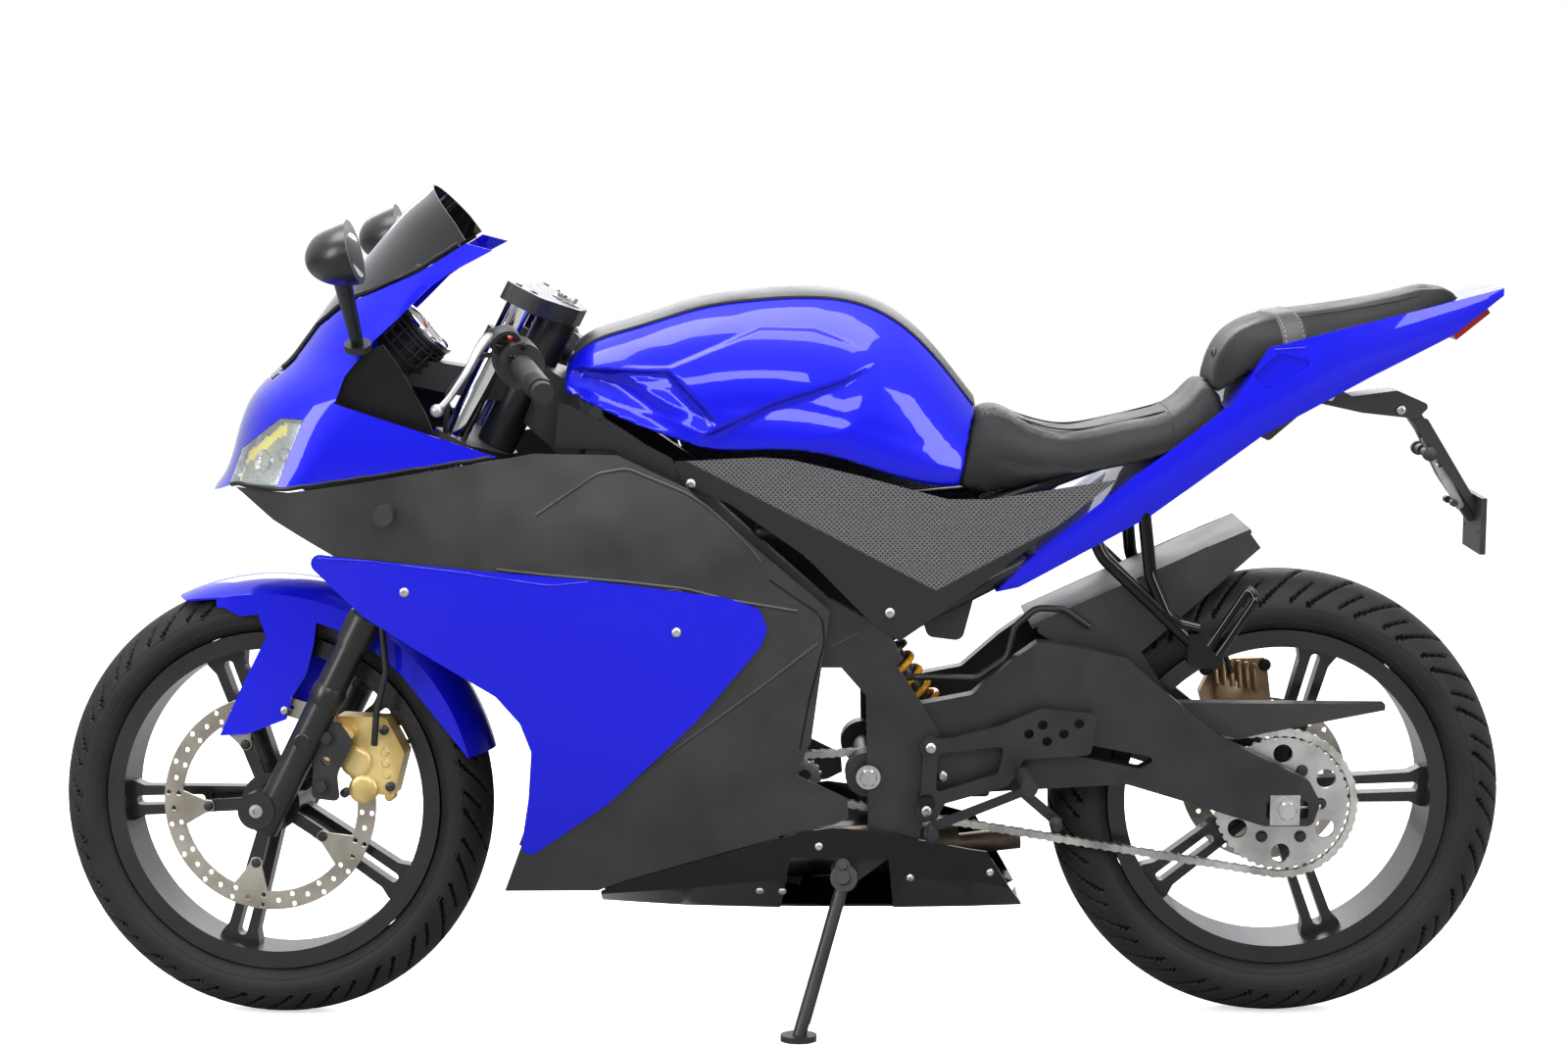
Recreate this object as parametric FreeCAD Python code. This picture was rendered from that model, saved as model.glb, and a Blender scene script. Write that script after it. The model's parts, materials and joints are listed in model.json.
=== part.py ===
import FreeCAD, Part
import math
import os

V = FreeCAD.Vector

# Driving sizes in millimetres. X points forward from the rear axle, Y to the rider's left, Z up
wheelbase = 1355.0
lean_deg = 4.1
steer_turn_deg = 7.7
rake_deg = 26.5
axle_offset = 52.0
axle_lead = 14.0
running_gap = 0.3
overrun = 40.0

# Outlines are drawn on a square grid that divides the wheelbase, so their points are shares of it
grid_count = 1355
grid = wheelbase / grid_count

# Wheels and tyres
front_tyre_radius = 296.0
front_tyre_width = 101.0
front_crown_radius = 56.0
rear_tyre_radius = 307.0
rear_tyre_width = 129.0
rear_crown_radius = 72.0
rim_seat_radius = 216.0
rim_flange_radius = 230.0
rim_wall = 9.0
front_rim_width = 76.0
rear_rim_width = 96.0
flange_wall = 6.0
hub_radius = 40.0
front_hub_far_y = -40.0
spoke_pairs = 5
pair_root_half = 16.0
pair_middle_half = 18.5
pair_tip_half = 20.5
pair_flare_half = 32.0
pair_middle_radius = 112.0
pair_tip_radius = 186.0
pair_slot_half = 6.5
pair_slot_start_radius = 102.0
pair_slot_end_radius = 198.0
pair_pocket_half = 8.0
pair_pocket_start_radius = 50.0
pair_pocket_end_radius = 92.0
pair_pocket_depth = 5.0
pair_corner_radius = 9.0
spoke_depth = 24.0
front_pair_phase_deg = 20.5
rear_pair_phase_deg = 56.0
axle_radius = 8.5
front_disc_radius = 146.0
front_disc_inner_radius = 112.0
front_disc_y = 51.0
disc_wall = 4.0
carrier_arm_half = 8.0
carrier_arm_depth = 8.0
front_carrier_radius = 94.0
rear_carrier_radius = 72.0
carrier_phase_deg = 22.6
tab_half = 9.0
disc_hole_radius = 3.4
disc_hole_columns = 30
disc_hole_depth_shares = [0.28, 0.72, 0.5]
rear_disc_radius = 115.0
rear_disc_inner_radius = 84.0
rear_disc_y = -72.0

# Final drive
chain_y = 79.0
chain_pitch = 12.7
rear_teeth = 48
front_teeth = 14
sprocket_wall = 6.5
sprocket_windows = 6
sprocket_window_radius = 13.0
sprocket_window_share = 0.7
chain_width = 13.0
chain_plate_height = 11.5
front_sprocket_x_share = 640
front_sprocket_z_share = 345

# Steering
fork_y = 95.0
stanchion_radius = 16.5
fork_leg_radius = 21.0
fork_lug_radius = 25.0
stem_radius = 13.0
head_tube_radius = 27.0
yoke_wall = 24.0
bar_radius = 11.0
grip_radius = 16.0
grip_length = 118.0
grip_end_y = 322.0

# Body widths
spar_inner_y = 98.0
spar_outer_y = 124.0
engine_half_width = 92.0
tank_half_width = 132.0
tail_half_width = 112.0
panel_wall = 3.0
panel_gap = 1.0
shell_wall = 3.0


def grid_point(x_share, z_share, y=0.0):
    return V(x_share * grid, y, z_share * grid)


# Places that several pieces share
rear_axle_height = (rear_tyre_radius - rear_crown_radius) + rear_crown_radius / math.cos(math.radians(lean_deg))


def front_axle_height():
    """Height at which the turned and leaned front tyre just touches the ground."""
    lean = math.radians(lean_deg)
    turn = math.radians(-steer_turn_deg)
    rake = math.radians(rake_deg)
    tilt = -math.cos(turn) * math.sin(lean) - math.sin(rake) * math.sin(turn) * math.cos(lean)
    reach = (front_tyre_radius - front_crown_radius) * math.sqrt(1 - tilt * tilt) + front_crown_radius
    side_drop = axle_offset * math.sin(turn) * math.sin(lean)
    turn_drop = axle_offset * math.sin(rake) * (math.cos(turn) - 1) * math.cos(lean)
    return (reach + side_drop - turn_drop) / math.cos(lean)


rear_axle = V(0, 0, rear_axle_height)
front_axle = V(wheelbase, 0, front_axle_height())
steer_up = V(-math.sin(math.radians(rake_deg)), 0, math.cos(math.radians(rake_deg)))
steer_forward = V(math.cos(math.radians(rake_deg)), 0, math.sin(math.radians(rake_deg)))
steer_base = front_axle - steer_forward * axle_offset
fork_base = front_axle - steer_forward * axle_lead
pivot = grid_point(557, 354)
front_sprocket = grid_point(front_sprocket_x_share, front_sprocket_z_share)
left = V(0, 1, 0)


def fork_point(height, y=0.0):
    """Point on the line of the fork tubes at a height above the ground."""
    along = (height - fork_base.z) / steer_up.z
    point = fork_base + steer_up * along
    return V(point.x, y, point.z)


def stem_point(height):
    """Point on the steering axis at a height above the ground."""
    along = (height - steer_base.z) / steer_up.z
    return steer_base + steer_up * along


# Small shape makers
def wire_of(points):
    return Part.makePolygon(points + [points[0]])


def rounded_wire(points, radius):
    """Closed outline whose corners are arcs, each as large as its two sides allow."""
    count = len(points)
    edges = []
    last_end = None
    first_start = None
    for i in range(count):
        before = points[i - 1] - points[i]
        after = points[(i + 1) % count] - points[i]
        half_turn = before.getAngle(after) / 2
        back = min(radius / math.tan(half_turn), 0.45 * before.Length, 0.45 * after.Length)
        start = points[i] + V(before).normalize() * back
        end = points[i] + V(after).normalize() * back
        inward = (V(before).normalize() + V(after).normalize()).normalize()
        arc_radius = back * math.tan(half_turn)
        to_centre = math.hypot(back, arc_radius)
        middle = points[i] + inward * (to_centre - arc_radius)
        if last_end is not None:
            edges.append(Part.LineSegment(last_end, start).toShape())
        else:
            first_start = start
        edges.append(Part.Arc(start, middle, end).toShape())
        last_end = end
    edges.append(Part.LineSegment(last_end, first_start).toShape())
    return Part.Wire(edges)


def side_points(shares, y=0.0):
    return [grid_point(x, z, y) for x, z in shares]


def side_plate(shares, y_low, y_high, radius=0.0):
    """Side outline given depth across the machine."""
    points = side_points(shares, y_low)
    outline = rounded_wire(points, radius) if radius else wire_of(points)
    return Part.Face(outline).extrude(V(0, y_high - y_low, 0))


def mirrored(shape):
    return shape.mirror(V(0, 0, 0), left)


def rod(start, end, radius):
    return Part.makeCylinder(radius, (end - start).Length, start, end - start)


def ring(centre, axis, outer, inner, width):
    """Ring about an axis, centred on its point."""
    base = centre - V(axis).normalize() * (width / 2)
    return Part.makeCylinder(outer, width, base, axis).cut(
        Part.makeCylinder(inner, width + 2 * overrun, base - V(axis).normalize() * overrun, axis))


def bent_rod(points, radius, bend):
    """Round bar that follows straight runs joined by tangent arcs."""
    edges = []
    last = points[0]
    for i in range(1, len(points) - 1):
        before = points[i - 1] - points[i]
        after = points[i + 1] - points[i]
        half_turn = before.getAngle(after) / 2
        back = min(bend / math.tan(half_turn), 0.45 * before.Length, 0.45 * after.Length)
        start = points[i] + V(before).normalize() * back
        end = points[i] + V(after).normalize() * back
        inward = (V(before).normalize() + V(after).normalize()).normalize()
        arc_radius = back * math.tan(half_turn)
        middle = points[i] + inward * (math.hypot(back, arc_radius) - arc_radius)
        edges.append(Part.LineSegment(last, start).toShape())
        edges.append(Part.Arc(start, middle, end).toShape())
        last = end
    edges.append(Part.LineSegment(last, points[-1]).toShape())
    path = Part.Wire(edges)
    circle = Part.Wire(Part.makeCircle(radius, points[0], points[1] - points[0]))
    return path.makePipeShell([circle], True, True)


def loft(wires, ruled=True):
    return Part.makeLoft(wires, True, ruled)


def fuse_all(shapes):
    result = shapes[0]
    if len(shapes) > 1:
        result = shapes[0].multiFuse(shapes[1:])
    return result.removeSplitter()


def smooth_edge(points):
    if len(points) == 2:
        return Part.LineSegment(points[0], points[1]).toShape()
    curve = Part.BSplineCurve()
    curve.interpolate(points)
    return curve.toShape()


def section_wire(x, top, runs):
    """Closed cross-section: one curve over the top, then on each side smooth runs that meet in creases."""
    sides = [[V(x, y, z) for y, z in run] for run in runs]
    far_sides = [[V(point.x, -point.y, point.z) for point in reversed(run)] for run in reversed(sides)]
    first = sides[0][0]
    last = sides[-1][-1]
    edges = [smooth_edge([V(first.x, -first.y, first.z), V(x, 0, top), first])]
    edges += [smooth_edge(run) for run in sides]
    edges.append(smooth_edge([last, V(last.x, -last.y, last.z)]))
    edges += [smooth_edge(run) for run in far_sides]
    return Part.Wire(edges)


def smooth_body(stations, lift=0.0):
    """Smooth solid through cross-sections given in grid shares: x, top, then the left side's runs."""
    wires = []
    for x, top, runs in stations:
        scaled = [[(y * grid, z * grid + lift) for y, z in run] for run in runs]
        wires.append(section_wire(x * grid, top * grid + lift, scaled))
    return loft(wires, False)


def plain_section_wire(x, section):
    """Closed cross-section at a station, given as left-side points from the top to the bottom."""
    left_side = [V(x, y, z) for y, z in section]
    right_side = [V(x, -y, z) for y, z in reversed(section) if y > 0]
    return wire_of(left_side + right_side)


def plain_body(stations):
    """Faceted solid through cross-sections given in grid shares: x, then left-side points."""
    wires = []
    for x, section in stations:
        wires.append(plain_section_wire(x * grid, [(y * grid, z * grid) for y, z in section]))
    return loft(wires)


# Bodies: how each piece stands on the machine
def lean_over(shape):
    leaned = shape.copy()
    leaned.rotate(V(0, 0, 0), V(1, 0, 0), -lean_deg)
    return leaned


def turn_with_bars(shape):
    turned = shape.copy()
    turned.rotate(steer_base, steer_up, -steer_turn_deg)
    return turned


pieces = {}


def add_fixed(name, solids):
    pieces[name] = [lean_over(solid) for solid in solids]


def add_steered(name, solids):
    pieces[name] = [lean_over(turn_with_bars(solid)) for solid in solids]


# Wheels
def tyre(centre, radius, width, crown, rim_width):
    """Tyre with round sidewalls and a crown arc, turned about the axle."""
    half = width / 2
    bead = rim_width / 2 - flange_wall - running_gap
    shoulder_y = 0.9 * half
    shoulder_r = radius - crown + math.sqrt(crown * crown - shoulder_y * shoulder_y)
    belly_r = (rim_flange_radius + shoulder_r) / 2
    low = rim_seat_radius + running_gap
    lip = rim_flange_radius + 2 * running_gap

    def at(y, r):
        return V(centre.x, y, centre.z + r)

    edges = [
        Part.LineSegment(at(-bead, low), at(bead, low)),
        Part.LineSegment(at(bead, low), at(bead, lip)),
        Part.Arc(at(bead, lip), at(half, belly_r), at(shoulder_y, shoulder_r)),
        Part.Arc(at(shoulder_y, shoulder_r), at(0, radius), at(-shoulder_y, shoulder_r)),
        Part.Arc(at(-shoulder_y, shoulder_r), at(-half, belly_r), at(-bead, lip)),
        Part.LineSegment(at(-bead, lip), at(-bead, low)),
    ]
    face = Part.Face(Part.Wire([edge.toShape() for edge in edges]))
    return face.revolve(centre, left, 360)


def spoke_pair():
    """Two slim spokes that leave the hub as one beam and part round a long slot, drawn upwards from the axle."""
    reach = rim_seat_radius - rim_wall / 2
    half = [V(pair_root_half, 0, hub_radius - rim_wall), V(pair_middle_half, 0, pair_middle_radius),
            V(pair_tip_half, 0, pair_tip_radius), V(pair_flare_half, 0, reach)]
    outline = half + [V(-point.x, 0, point.z) for point in reversed(half)]
    beam = Part.Face(rounded_wire(outline, pair_corner_radius)).extrude(V(0, spoke_depth, 0))
    slot = [V(pair_slot_half, -overrun, pair_slot_start_radius),
            V(pair_slot_half, -overrun, pair_slot_end_radius),
            V(-pair_slot_half, -overrun, pair_slot_end_radius),
            V(-pair_slot_half, -overrun, pair_slot_start_radius)]
    beam = beam.cut(Part.Face(rounded_wire(slot, pair_slot_half)).extrude(V(0, spoke_depth + 2 * overrun, 0)))
    for low in (-overrun, spoke_depth - pair_pocket_depth):
        pocket = [V(pair_root_half / 2, low, pair_pocket_start_radius),
                  V(pair_pocket_half, low, pair_pocket_end_radius),
                  V(-pair_pocket_half, low, pair_pocket_end_radius),
                  V(-pair_root_half / 2, low, pair_pocket_start_radius)]
        beam = beam.cut(Part.Face(wire_of(pocket)).extrude(V(0, overrun + pair_pocket_depth, 0)))
    beam.translate(V(0, -spoke_depth / 2, 0))
    return beam


def carrier_arm(outer_radius, y_low, y_high):
    """Short arm that carries one tab of the brake disc."""
    arm = Part.makeBox(2 * carrier_arm_half, y_high - y_low, outer_radius - hub_radius + rim_wall,
                       V(-carrier_arm_half, y_low, hub_radius - rim_wall))
    end = Part.makeCylinder(carrier_arm_half, y_high - y_low, V(0, y_low, outer_radius), left)
    return arm.fuse(end)


def rim(centre, rim_width, hub_low, hub_high, phase_deg, carrier):
    """Cast rim: barrel with two flanges, a hub, pairs of slim spokes and the disc's carrier arms."""
    half = rim_width / 2
    well = rim_seat_radius - rim_wall

    def at(y, r):
        return V(centre.x, y, centre.z + r)

    profile = [
        at(-half, rim_flange_radius), at(-half + flange_wall, rim_flange_radius),
        at(-half + flange_wall, rim_seat_radius), at(half - flange_wall, rim_seat_radius),
        at(half - flange_wall, rim_flange_radius), at(half, rim_flange_radius),
        at(half, well), at(-half, well),
    ]
    barrel = Part.Face(wire_of(profile)).revolve(centre, left, 360)
    hub = Part.makeCylinder(hub_radius, hub_high - hub_low, centre + left * hub_low, left)
    solids = [barrel, hub]
    for i in range(spoke_pairs):
        solids.append(about_axle(spoke_pair(), centre, phase_deg + 360.0 * i / spoke_pairs))
        arm = carrier_arm(*carrier)
        solids.append(about_axle(arm, centre, carrier_phase_deg + 360.0 * i / spoke_pairs))
    solid = fuse_all(solids)
    bore = Part.makeCylinder(axle_radius + running_gap, hub_high - hub_low + 2 * overrun,
                             centre + left * (hub_low - overrun), left)
    return solid.cut(bore)


def about_axle(shape, centre, angle_deg):
    turned = shape.copy()
    turned.rotate(V(0, 0, 0), left, angle_deg)
    turned.translate(centre)
    return turned


def disc(centre, y, outer, inner, tab_bolt_radius):
    """Brake disc: a ring with rows of holes, and tabs that are bolted to the rim's carrier arms."""
    middle = V(centre.x, y, centre.z)
    band = ring(middle, left, outer, inner, disc_wall)
    solids = [band]
    for i in range(spoke_pairs):
        tab = carrier_arm(tab_bolt_radius, -disc_wall / 2, disc_wall / 2)
        tab = tab.cut(Part.makeCylinder(tab_bolt_radius - tab_half, 4 * disc_wall, V(0, -2 * disc_wall, 0), left))
        link = Part.makeBox(2 * tab_half, disc_wall, inner - tab_bolt_radius + tab_half,
                            V(-tab_half, -disc_wall / 2, tab_bolt_radius))
        solids.append(about_axle(tab.fuse(link), middle, carrier_phase_deg + 360.0 * i / spoke_pairs))
    solid = fuse_all(solids)
    holes = []
    for i in range(disc_hole_columns):
        share = disc_hole_depth_shares[i % len(disc_hole_depth_shares)]
        radius = inner + share * (outer - inner)
        hole = Part.makeCylinder(disc_hole_radius, 4 * disc_wall, V(0, -2 * disc_wall, radius), left)
        holes.append(about_axle(hole, middle, 360.0 * i / disc_hole_columns))
    return solid.cut(holes)


def sprocket(centre, teeth, bore, windows):
    """Toothed wheel whose tips stay inside the chain's rollers' path."""
    pitch_radius = chain_pitch / (2 * math.sin(math.pi / teeth))
    tip = pitch_radius - chain_plate_height / 2 - running_gap
    root = tip - 0.22 * chain_pitch
    points = []
    for i in range(teeth):
        start = 2 * math.pi * i / teeth
        for part_share, radius in ((0.0, root), (0.3, root), (0.5, tip), (0.8, tip)):
            angle = start + part_share * 2 * math.pi / teeth
            points.append(V(centre.x + radius * math.cos(angle), chain_y - sprocket_wall / 2,
                            centre.z + radius * math.sin(angle)))
    wheel = Part.Face(wire_of(points)).extrude(V(0, sprocket_wall, 0))
    wheel = wheel.cut(Part.makeCylinder(bore, 2 * overrun, V(centre.x, chain_y - overrun, centre.z), left))
    for i in range(windows):
        window = Part.makeCylinder(sprocket_window_radius, 2 * overrun,
                                   V(0, -overrun, sprocket_window_share * pitch_radius), left)
        wheel = wheel.cut(about_axle(window, V(centre.x, chain_y, centre.z), 360.0 * i / windows))
    return wheel


def chain():
    """Endless loop round both sprockets, drawn as its side plates' band."""
    rear_pitch = chain_pitch / (2 * math.sin(math.pi / rear_teeth))
    front_pitch = chain_pitch / (2 * math.sin(math.pi / front_teeth))
    rear_centre = V(rear_axle.x, chain_y - chain_width / 2, rear_axle.z)
    front_centre = V(front_sprocket.x, chain_y - chain_width / 2, front_sprocket.z)

    def loop(growth):
        r_rear = rear_pitch + growth
        r_front = front_pitch + growth
        along = front_centre - rear_centre
        slope = math.atan2(along.z, along.x)
        open_angle = math.acos((r_rear - r_front) / along.Length)

        def spot(centre, radius, angle):
            return V(centre.x + radius * math.cos(angle), centre.y, centre.z + radius * math.sin(angle))

        up = slope + open_angle
        down = slope - open_angle
        edges = [
            Part.LineSegment(spot(rear_centre, r_rear, up), spot(front_centre, r_front, up)),
            Part.Arc(spot(front_centre, r_front, up), spot(front_centre, r_front, slope),
                     spot(front_centre, r_front, down)),
            Part.LineSegment(spot(front_centre, r_front, down), spot(rear_centre, r_rear, down)),
            Part.Arc(spot(rear_centre, r_rear, down), spot(rear_centre, r_rear, slope + math.pi),
                     spot(rear_centre, r_rear, up)),
        ]
        return Part.Face(Part.Wire([edge.toShape() for edge in edges]))

    outer = loop(chain_plate_height / 2).extrude(V(0, chain_width, 0))
    hole = loop(-chain_plate_height / 2)
    hole.translate(V(0, -overrun, 0))
    return outer.cut(hole.extrude(V(0, chain_width + 2 * overrun, 0)))


def make_wheels():
    add_steered("front_tyre", [tyre(front_axle, front_tyre_radius, front_tyre_width,
                                    front_crown_radius, front_rim_width)])
    inside = front_disc_y - disc_wall / 2
    add_steered("front_rim", [rim(front_axle, front_rim_width, front_hub_far_y, inside, front_pair_phase_deg,
                                  (front_carrier_radius - tab_half, inside - carrier_arm_depth, inside))])
    add_steered("front_disc", [disc(front_axle, front_disc_y, front_disc_radius, front_disc_inner_radius,
                                    front_carrier_radius - tab_half)])
    add_fixed("rear_tyre", [tyre(rear_axle, rear_tyre_radius, rear_tyre_width,
                                 rear_crown_radius, rear_rim_width)])
    outside = rear_disc_y + disc_wall / 2
    add_fixed("rear_rim", [rim(rear_axle, rear_rim_width, outside, chain_y - sprocket_wall / 2, rear_pair_phase_deg,
                               (rear_carrier_radius - tab_half, outside, outside + carrier_arm_depth))])
    add_fixed("rear_disc", [disc(rear_axle, rear_disc_y, rear_disc_radius, rear_disc_inner_radius,
                                 rear_carrier_radius - tab_half)])
    add_fixed("rear_sprocket", [sprocket(rear_axle, rear_teeth, axle_radius + running_gap, sprocket_windows)])


# Fork, yokes and controls, drawn straight ahead
axle_end_y = 118.0
spacer_radius = 14.0
lower_yoke_height = 770.0
top_yoke_height = 962.0
fork_seal_height = 556.0
fork_top_height = 985.0
yoke_half_depth = 27.0
bar_start_height = 941.0
grip_end_x_share = 932
grip_end_z_share = 866


def front_axle_rod():
    shaft = Part.makeCylinder(axle_radius, 2 * axle_end_y, front_axle - left * axle_end_y, left)
    solids = [shaft]
    gap = running_gap
    near = front_disc_y + disc_wall / 2 + gap
    far = -front_hub_far_y + gap
    end = fork_y - fork_lug_radius
    solids.append(Part.makeCylinder(spacer_radius, end - near, front_axle + left * near, left))
    solids.append(Part.makeCylinder(spacer_radius, end - far, front_axle - left * end, left))
    return fuse_all(solids)


def fork_leg(y):
    foot = V(fork_base.x, y, fork_base.z)
    top = fork_point(fork_seal_height, y)
    lug_half = fork_lug_radius
    leg = rod(foot - steer_up * fork_lug_radius, top, fork_leg_radius)
    centre = V(front_axle.x, y, front_axle.z)
    lug = Part.makeCylinder(fork_lug_radius, 2 * lug_half, centre - left * lug_half, left)
    collar_base = top - steer_up * (2 * fork_leg_radius)
    collar = rod(collar_base, top, fork_leg_radius + flange_wall / 2)
    solid = fuse_all([leg, lug, collar])
    hole = Part.makeCylinder(axle_radius + running_gap, 4 * lug_half, centre - left * (2 * lug_half), left)
    socket = rod(top - steer_up * (2 * fork_leg_radius), top + steer_up * overrun, stanchion_radius + running_gap)
    return solid.cut(hole).cut(socket)


def stanchion(y):
    low = fork_point(fork_seal_height, y) - steer_up * (2 * fork_leg_radius - running_gap)
    return rod(low, fork_point(fork_top_height, y), stanchion_radius)


def yoke(height):
    """Bridge between the two fork tubes round the steering stem."""
    middle = stem_point(height)
    half = yoke_wall / 2
    across = fork_y + fork_leg_radius + flange_wall
    forward = (fork_point(height) - stem_point(height)).dot(steer_forward)
    tube = V(forward, fork_y, 0)
    corners = [V(-yoke_half_depth, 0.3 * fork_y, 0), V(forward - yoke_half_depth, across, 0),
               V(forward + yoke_half_depth, across, 0), V(forward + 0.5 * yoke_half_depth, 0.4 * fork_y, 0)]
    outline = corners + [V(point.x, -point.y, 0) for point in reversed(corners)]
    plate = Part.Face(rounded_wire(outline, yoke_half_depth / 2)).extrude(V(0, 0, yoke_wall))
    for side in (-1, 1):
        plate = plate.cut(Part.makeCylinder(stanchion_radius + running_gap / 10, yoke_wall + 2 * overrun,
                                            V(tube.x, side * tube.y, -overrun)))
    plate.rotate(V(0, 0, 0), left, -rake_deg)
    plate.translate(middle - steer_up * half)
    return plate


def stem():
    low = stem_point(lower_yoke_height) + steer_up * (yoke_wall / 2)
    high = stem_point(top_yoke_height) - steer_up * (yoke_wall / 2)
    return rod(low, high, stem_radius)


def yokes():
    """Both yokes on their stem."""
    return fuse_all([yoke(lower_yoke_height), stem(), yoke(top_yoke_height)])


def clip_on(side):
    """Short handlebar clamped on its fork tube, and swept back and down."""
    start = fork_point(bar_start_height, fork_y)
    start = start - steer_up * (yoke_wall * 0.9)
    end = grid_point(grip_end_x_share, grip_end_z_share, grip_end_y)
    clamp = rod(start - steer_up * (yoke_wall / 2), start + steer_up * (yoke_wall / 2),
                stanchion_radius + 1.4 * flange_wall)
    bar = rod(start, end, bar_radius)
    solid = fuse_all([clamp, bar]).cut(rod(start - steer_up * overrun, start + steer_up * overrun,
                                           stanchion_radius + running_gap / 10))
    return solid if side > 0 else mirrored(solid)


def bar_line():
    start = fork_point(bar_start_height, fork_y) - steer_up * (yoke_wall * 0.9)
    end = grid_point(grip_end_x_share, grip_end_z_share, grip_end_y)
    return start, end, (end - start).normalize()


def grip(side):
    start, end, along = bar_line()
    solid = rod(end - along * grip_length, end - along * running_gap, grip_radius)
    solid = solid.cut(rod(end - along * (grip_length + overrun), end + along * overrun, bar_radius + running_gap / 10))
    weight = rod(end, end + along * (0.9 * grip_radius), 0.85 * grip_radius)
    solids = [solid, weight]
    return solids if side > 0 else [mirrored(piece) for piece in solids]


switch_length = 46.0
switch_radius = 30.0
lever_radius = 7.0
lever_bracket_radius = 17.0
lever_ball_radius = 10.0
lever_direction = V(0.94, 0, -0.3)


def switch_housing(side):
    start, end, along = bar_line()
    near = end - along * (grip_length + 2 * running_gap + switch_length)
    solid = rod(near, near + along * switch_length, switch_radius)
    return solid if side > 0 else mirrored(solid)


def lever(side):
    """Clutch or brake lever: bracket on the bar, blade and ball end."""
    start, end, along = bar_line()
    root = end - along * (grip_length + switch_length + 4 * running_gap + 0.5 * switch_length)
    bracket = rod(root, root + along * (0.5 * switch_length), lever_bracket_radius)
    bracket = bracket.cut(rod(start - along * overrun, end, bar_radius + running_gap / 10))
    ahead = V(lever_direction).normalize()
    hinge = root + along * (0.3 * switch_length) + ahead * (0.9 * lever_bracket_radius)
    tip = end + ahead * (2.6 * switch_radius) - along * (0.3 * switch_radius)
    elbow = hinge + ahead * (1.3 * switch_radius) + along * (0.6 * switch_length)
    blade = bent_rod([hinge, elbow, tip], lever_radius, 4 * lever_radius)
    ball = Part.makeSphere(lever_ball_radius, tip)
    solid = fuse_all([bracket, blade, ball])
    return solid if side > 0 else mirrored(solid)


mudguard_inner_radius = 304.0
mudguard_start_deg = 58.0
mudguard_end_deg = 166.0
mudguard_half_width = 62.0
mudguard_skirt_radius = 256.0
mudguard_crown_drop = 20.0
mudguard_keep_shares = [(1530, 700), (1530, 566), (1490, 573), (1452, 563), (1412, 561), (1386, 548), (1366, 520),
                        (1290, 508), (1172, 477), (1063, 344), (1022, 344), (1000, 420), (1100, 700)]
mudguard_plan_shares = [(1520, 16), (1490, 40), (1440, 58), (1390, 70), (1100, 70), (1040, 60), (1010, 44)]
mudguard_blade_shares = [(1368, 560), (1355, 522), (1388, 457), (1420, 388), (1382, 391), (1328, 412),
                         (1320, 443), (1301, 472), (1290, 512), (1284, 560)]


def front_mudguard():
    """Shell round the top of the tyre with side blades that meet the fork legs."""
    inner = mudguard_inner_radius
    outer = inner + shell_wall
    half = mudguard_half_width
    drop_r = inner - mudguard_crown_drop

    def at(y, r):
        return V(front_axle.x + r, y, front_axle.z)

    edges = [
        Part.LineSegment(at(-half, mudguard_skirt_radius), at(-half, drop_r)),
        Part.Arc(at(-half, drop_r), at(0, inner), at(half, drop_r)),
        Part.LineSegment(at(half, drop_r), at(half, mudguard_skirt_radius)),
        Part.LineSegment(at(half, mudguard_skirt_radius), at(half + shell_wall, mudguard_skirt_radius)),
        Part.LineSegment(at(half + shell_wall, mudguard_skirt_radius), at(half + shell_wall, drop_r)),
        Part.Arc(at(half + shell_wall, drop_r), at(0, outer), at(-half - shell_wall, drop_r)),
        Part.LineSegment(at(-half - shell_wall, drop_r), at(-half - shell_wall, mudguard_skirt_radius)),
        Part.LineSegment(at(-half - shell_wall, mudguard_skirt_radius), at(-half, mudguard_skirt_radius)),
    ]
    face = Part.Face(Part.Wire([edge.toShape() for edge in edges]))
    face.rotate(front_axle, left, -mudguard_start_deg)
    shell = face.revolve(front_axle, left, -(mudguard_end_deg - mudguard_start_deg))
    shell = shell.common(side_plate(mudguard_keep_shares, -2 * half, 2 * half))
    half_plan = [V(x * grid, y, 0) for x, y in mudguard_plan_shares]
    plan = half_plan + [V(point.x, -point.y, 0) for point in reversed(half_plan)]
    shell = shell.common(Part.Face(wire_of(plan)).extrude(V(0, 0, wheelbase)))
    blade = side_plate(mudguard_blade_shares, half, half + shell_wall)
    return fuse_all([shell, blade, mirrored(blade)])


caliper_shares = [(1262, 420), (1190, 418), (1165, 372), (1180, 312), (1225, 318), (1250, 352)]
caliper_wall = 21.0


caliper_arm_shares = [(1262, 420), (1225, 400), (1262, 360), (1297, 388)]


def front_caliper():
    """Brake caliper that straddles the disc behind the left fork leg."""
    slot_low = front_disc_y - disc_wall / 2 - running_gap * 4
    slot_high = front_disc_y + disc_wall / 2 + running_gap * 4
    body = side_plate(caliper_shares, front_disc_y - caliper_wall, front_disc_y + caliper_wall, flange_wall)
    slot = ring(V(front_axle.x, front_disc_y, front_axle.z), left, front_disc_radius + 2 * disc_wall,
                hub_radius, slot_high - slot_low)
    body = body.cut(slot)
    arm = side_plate(caliper_arm_shares, front_disc_y + caliper_wall, fork_y - running_gap, flange_wall)
    leg = rod(V(fork_base.x, fork_y, fork_base.z), fork_point(fork_seal_height, fork_y),
              fork_leg_radius + running_gap)
    return fuse_all([body, arm]).cut(leg)


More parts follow.
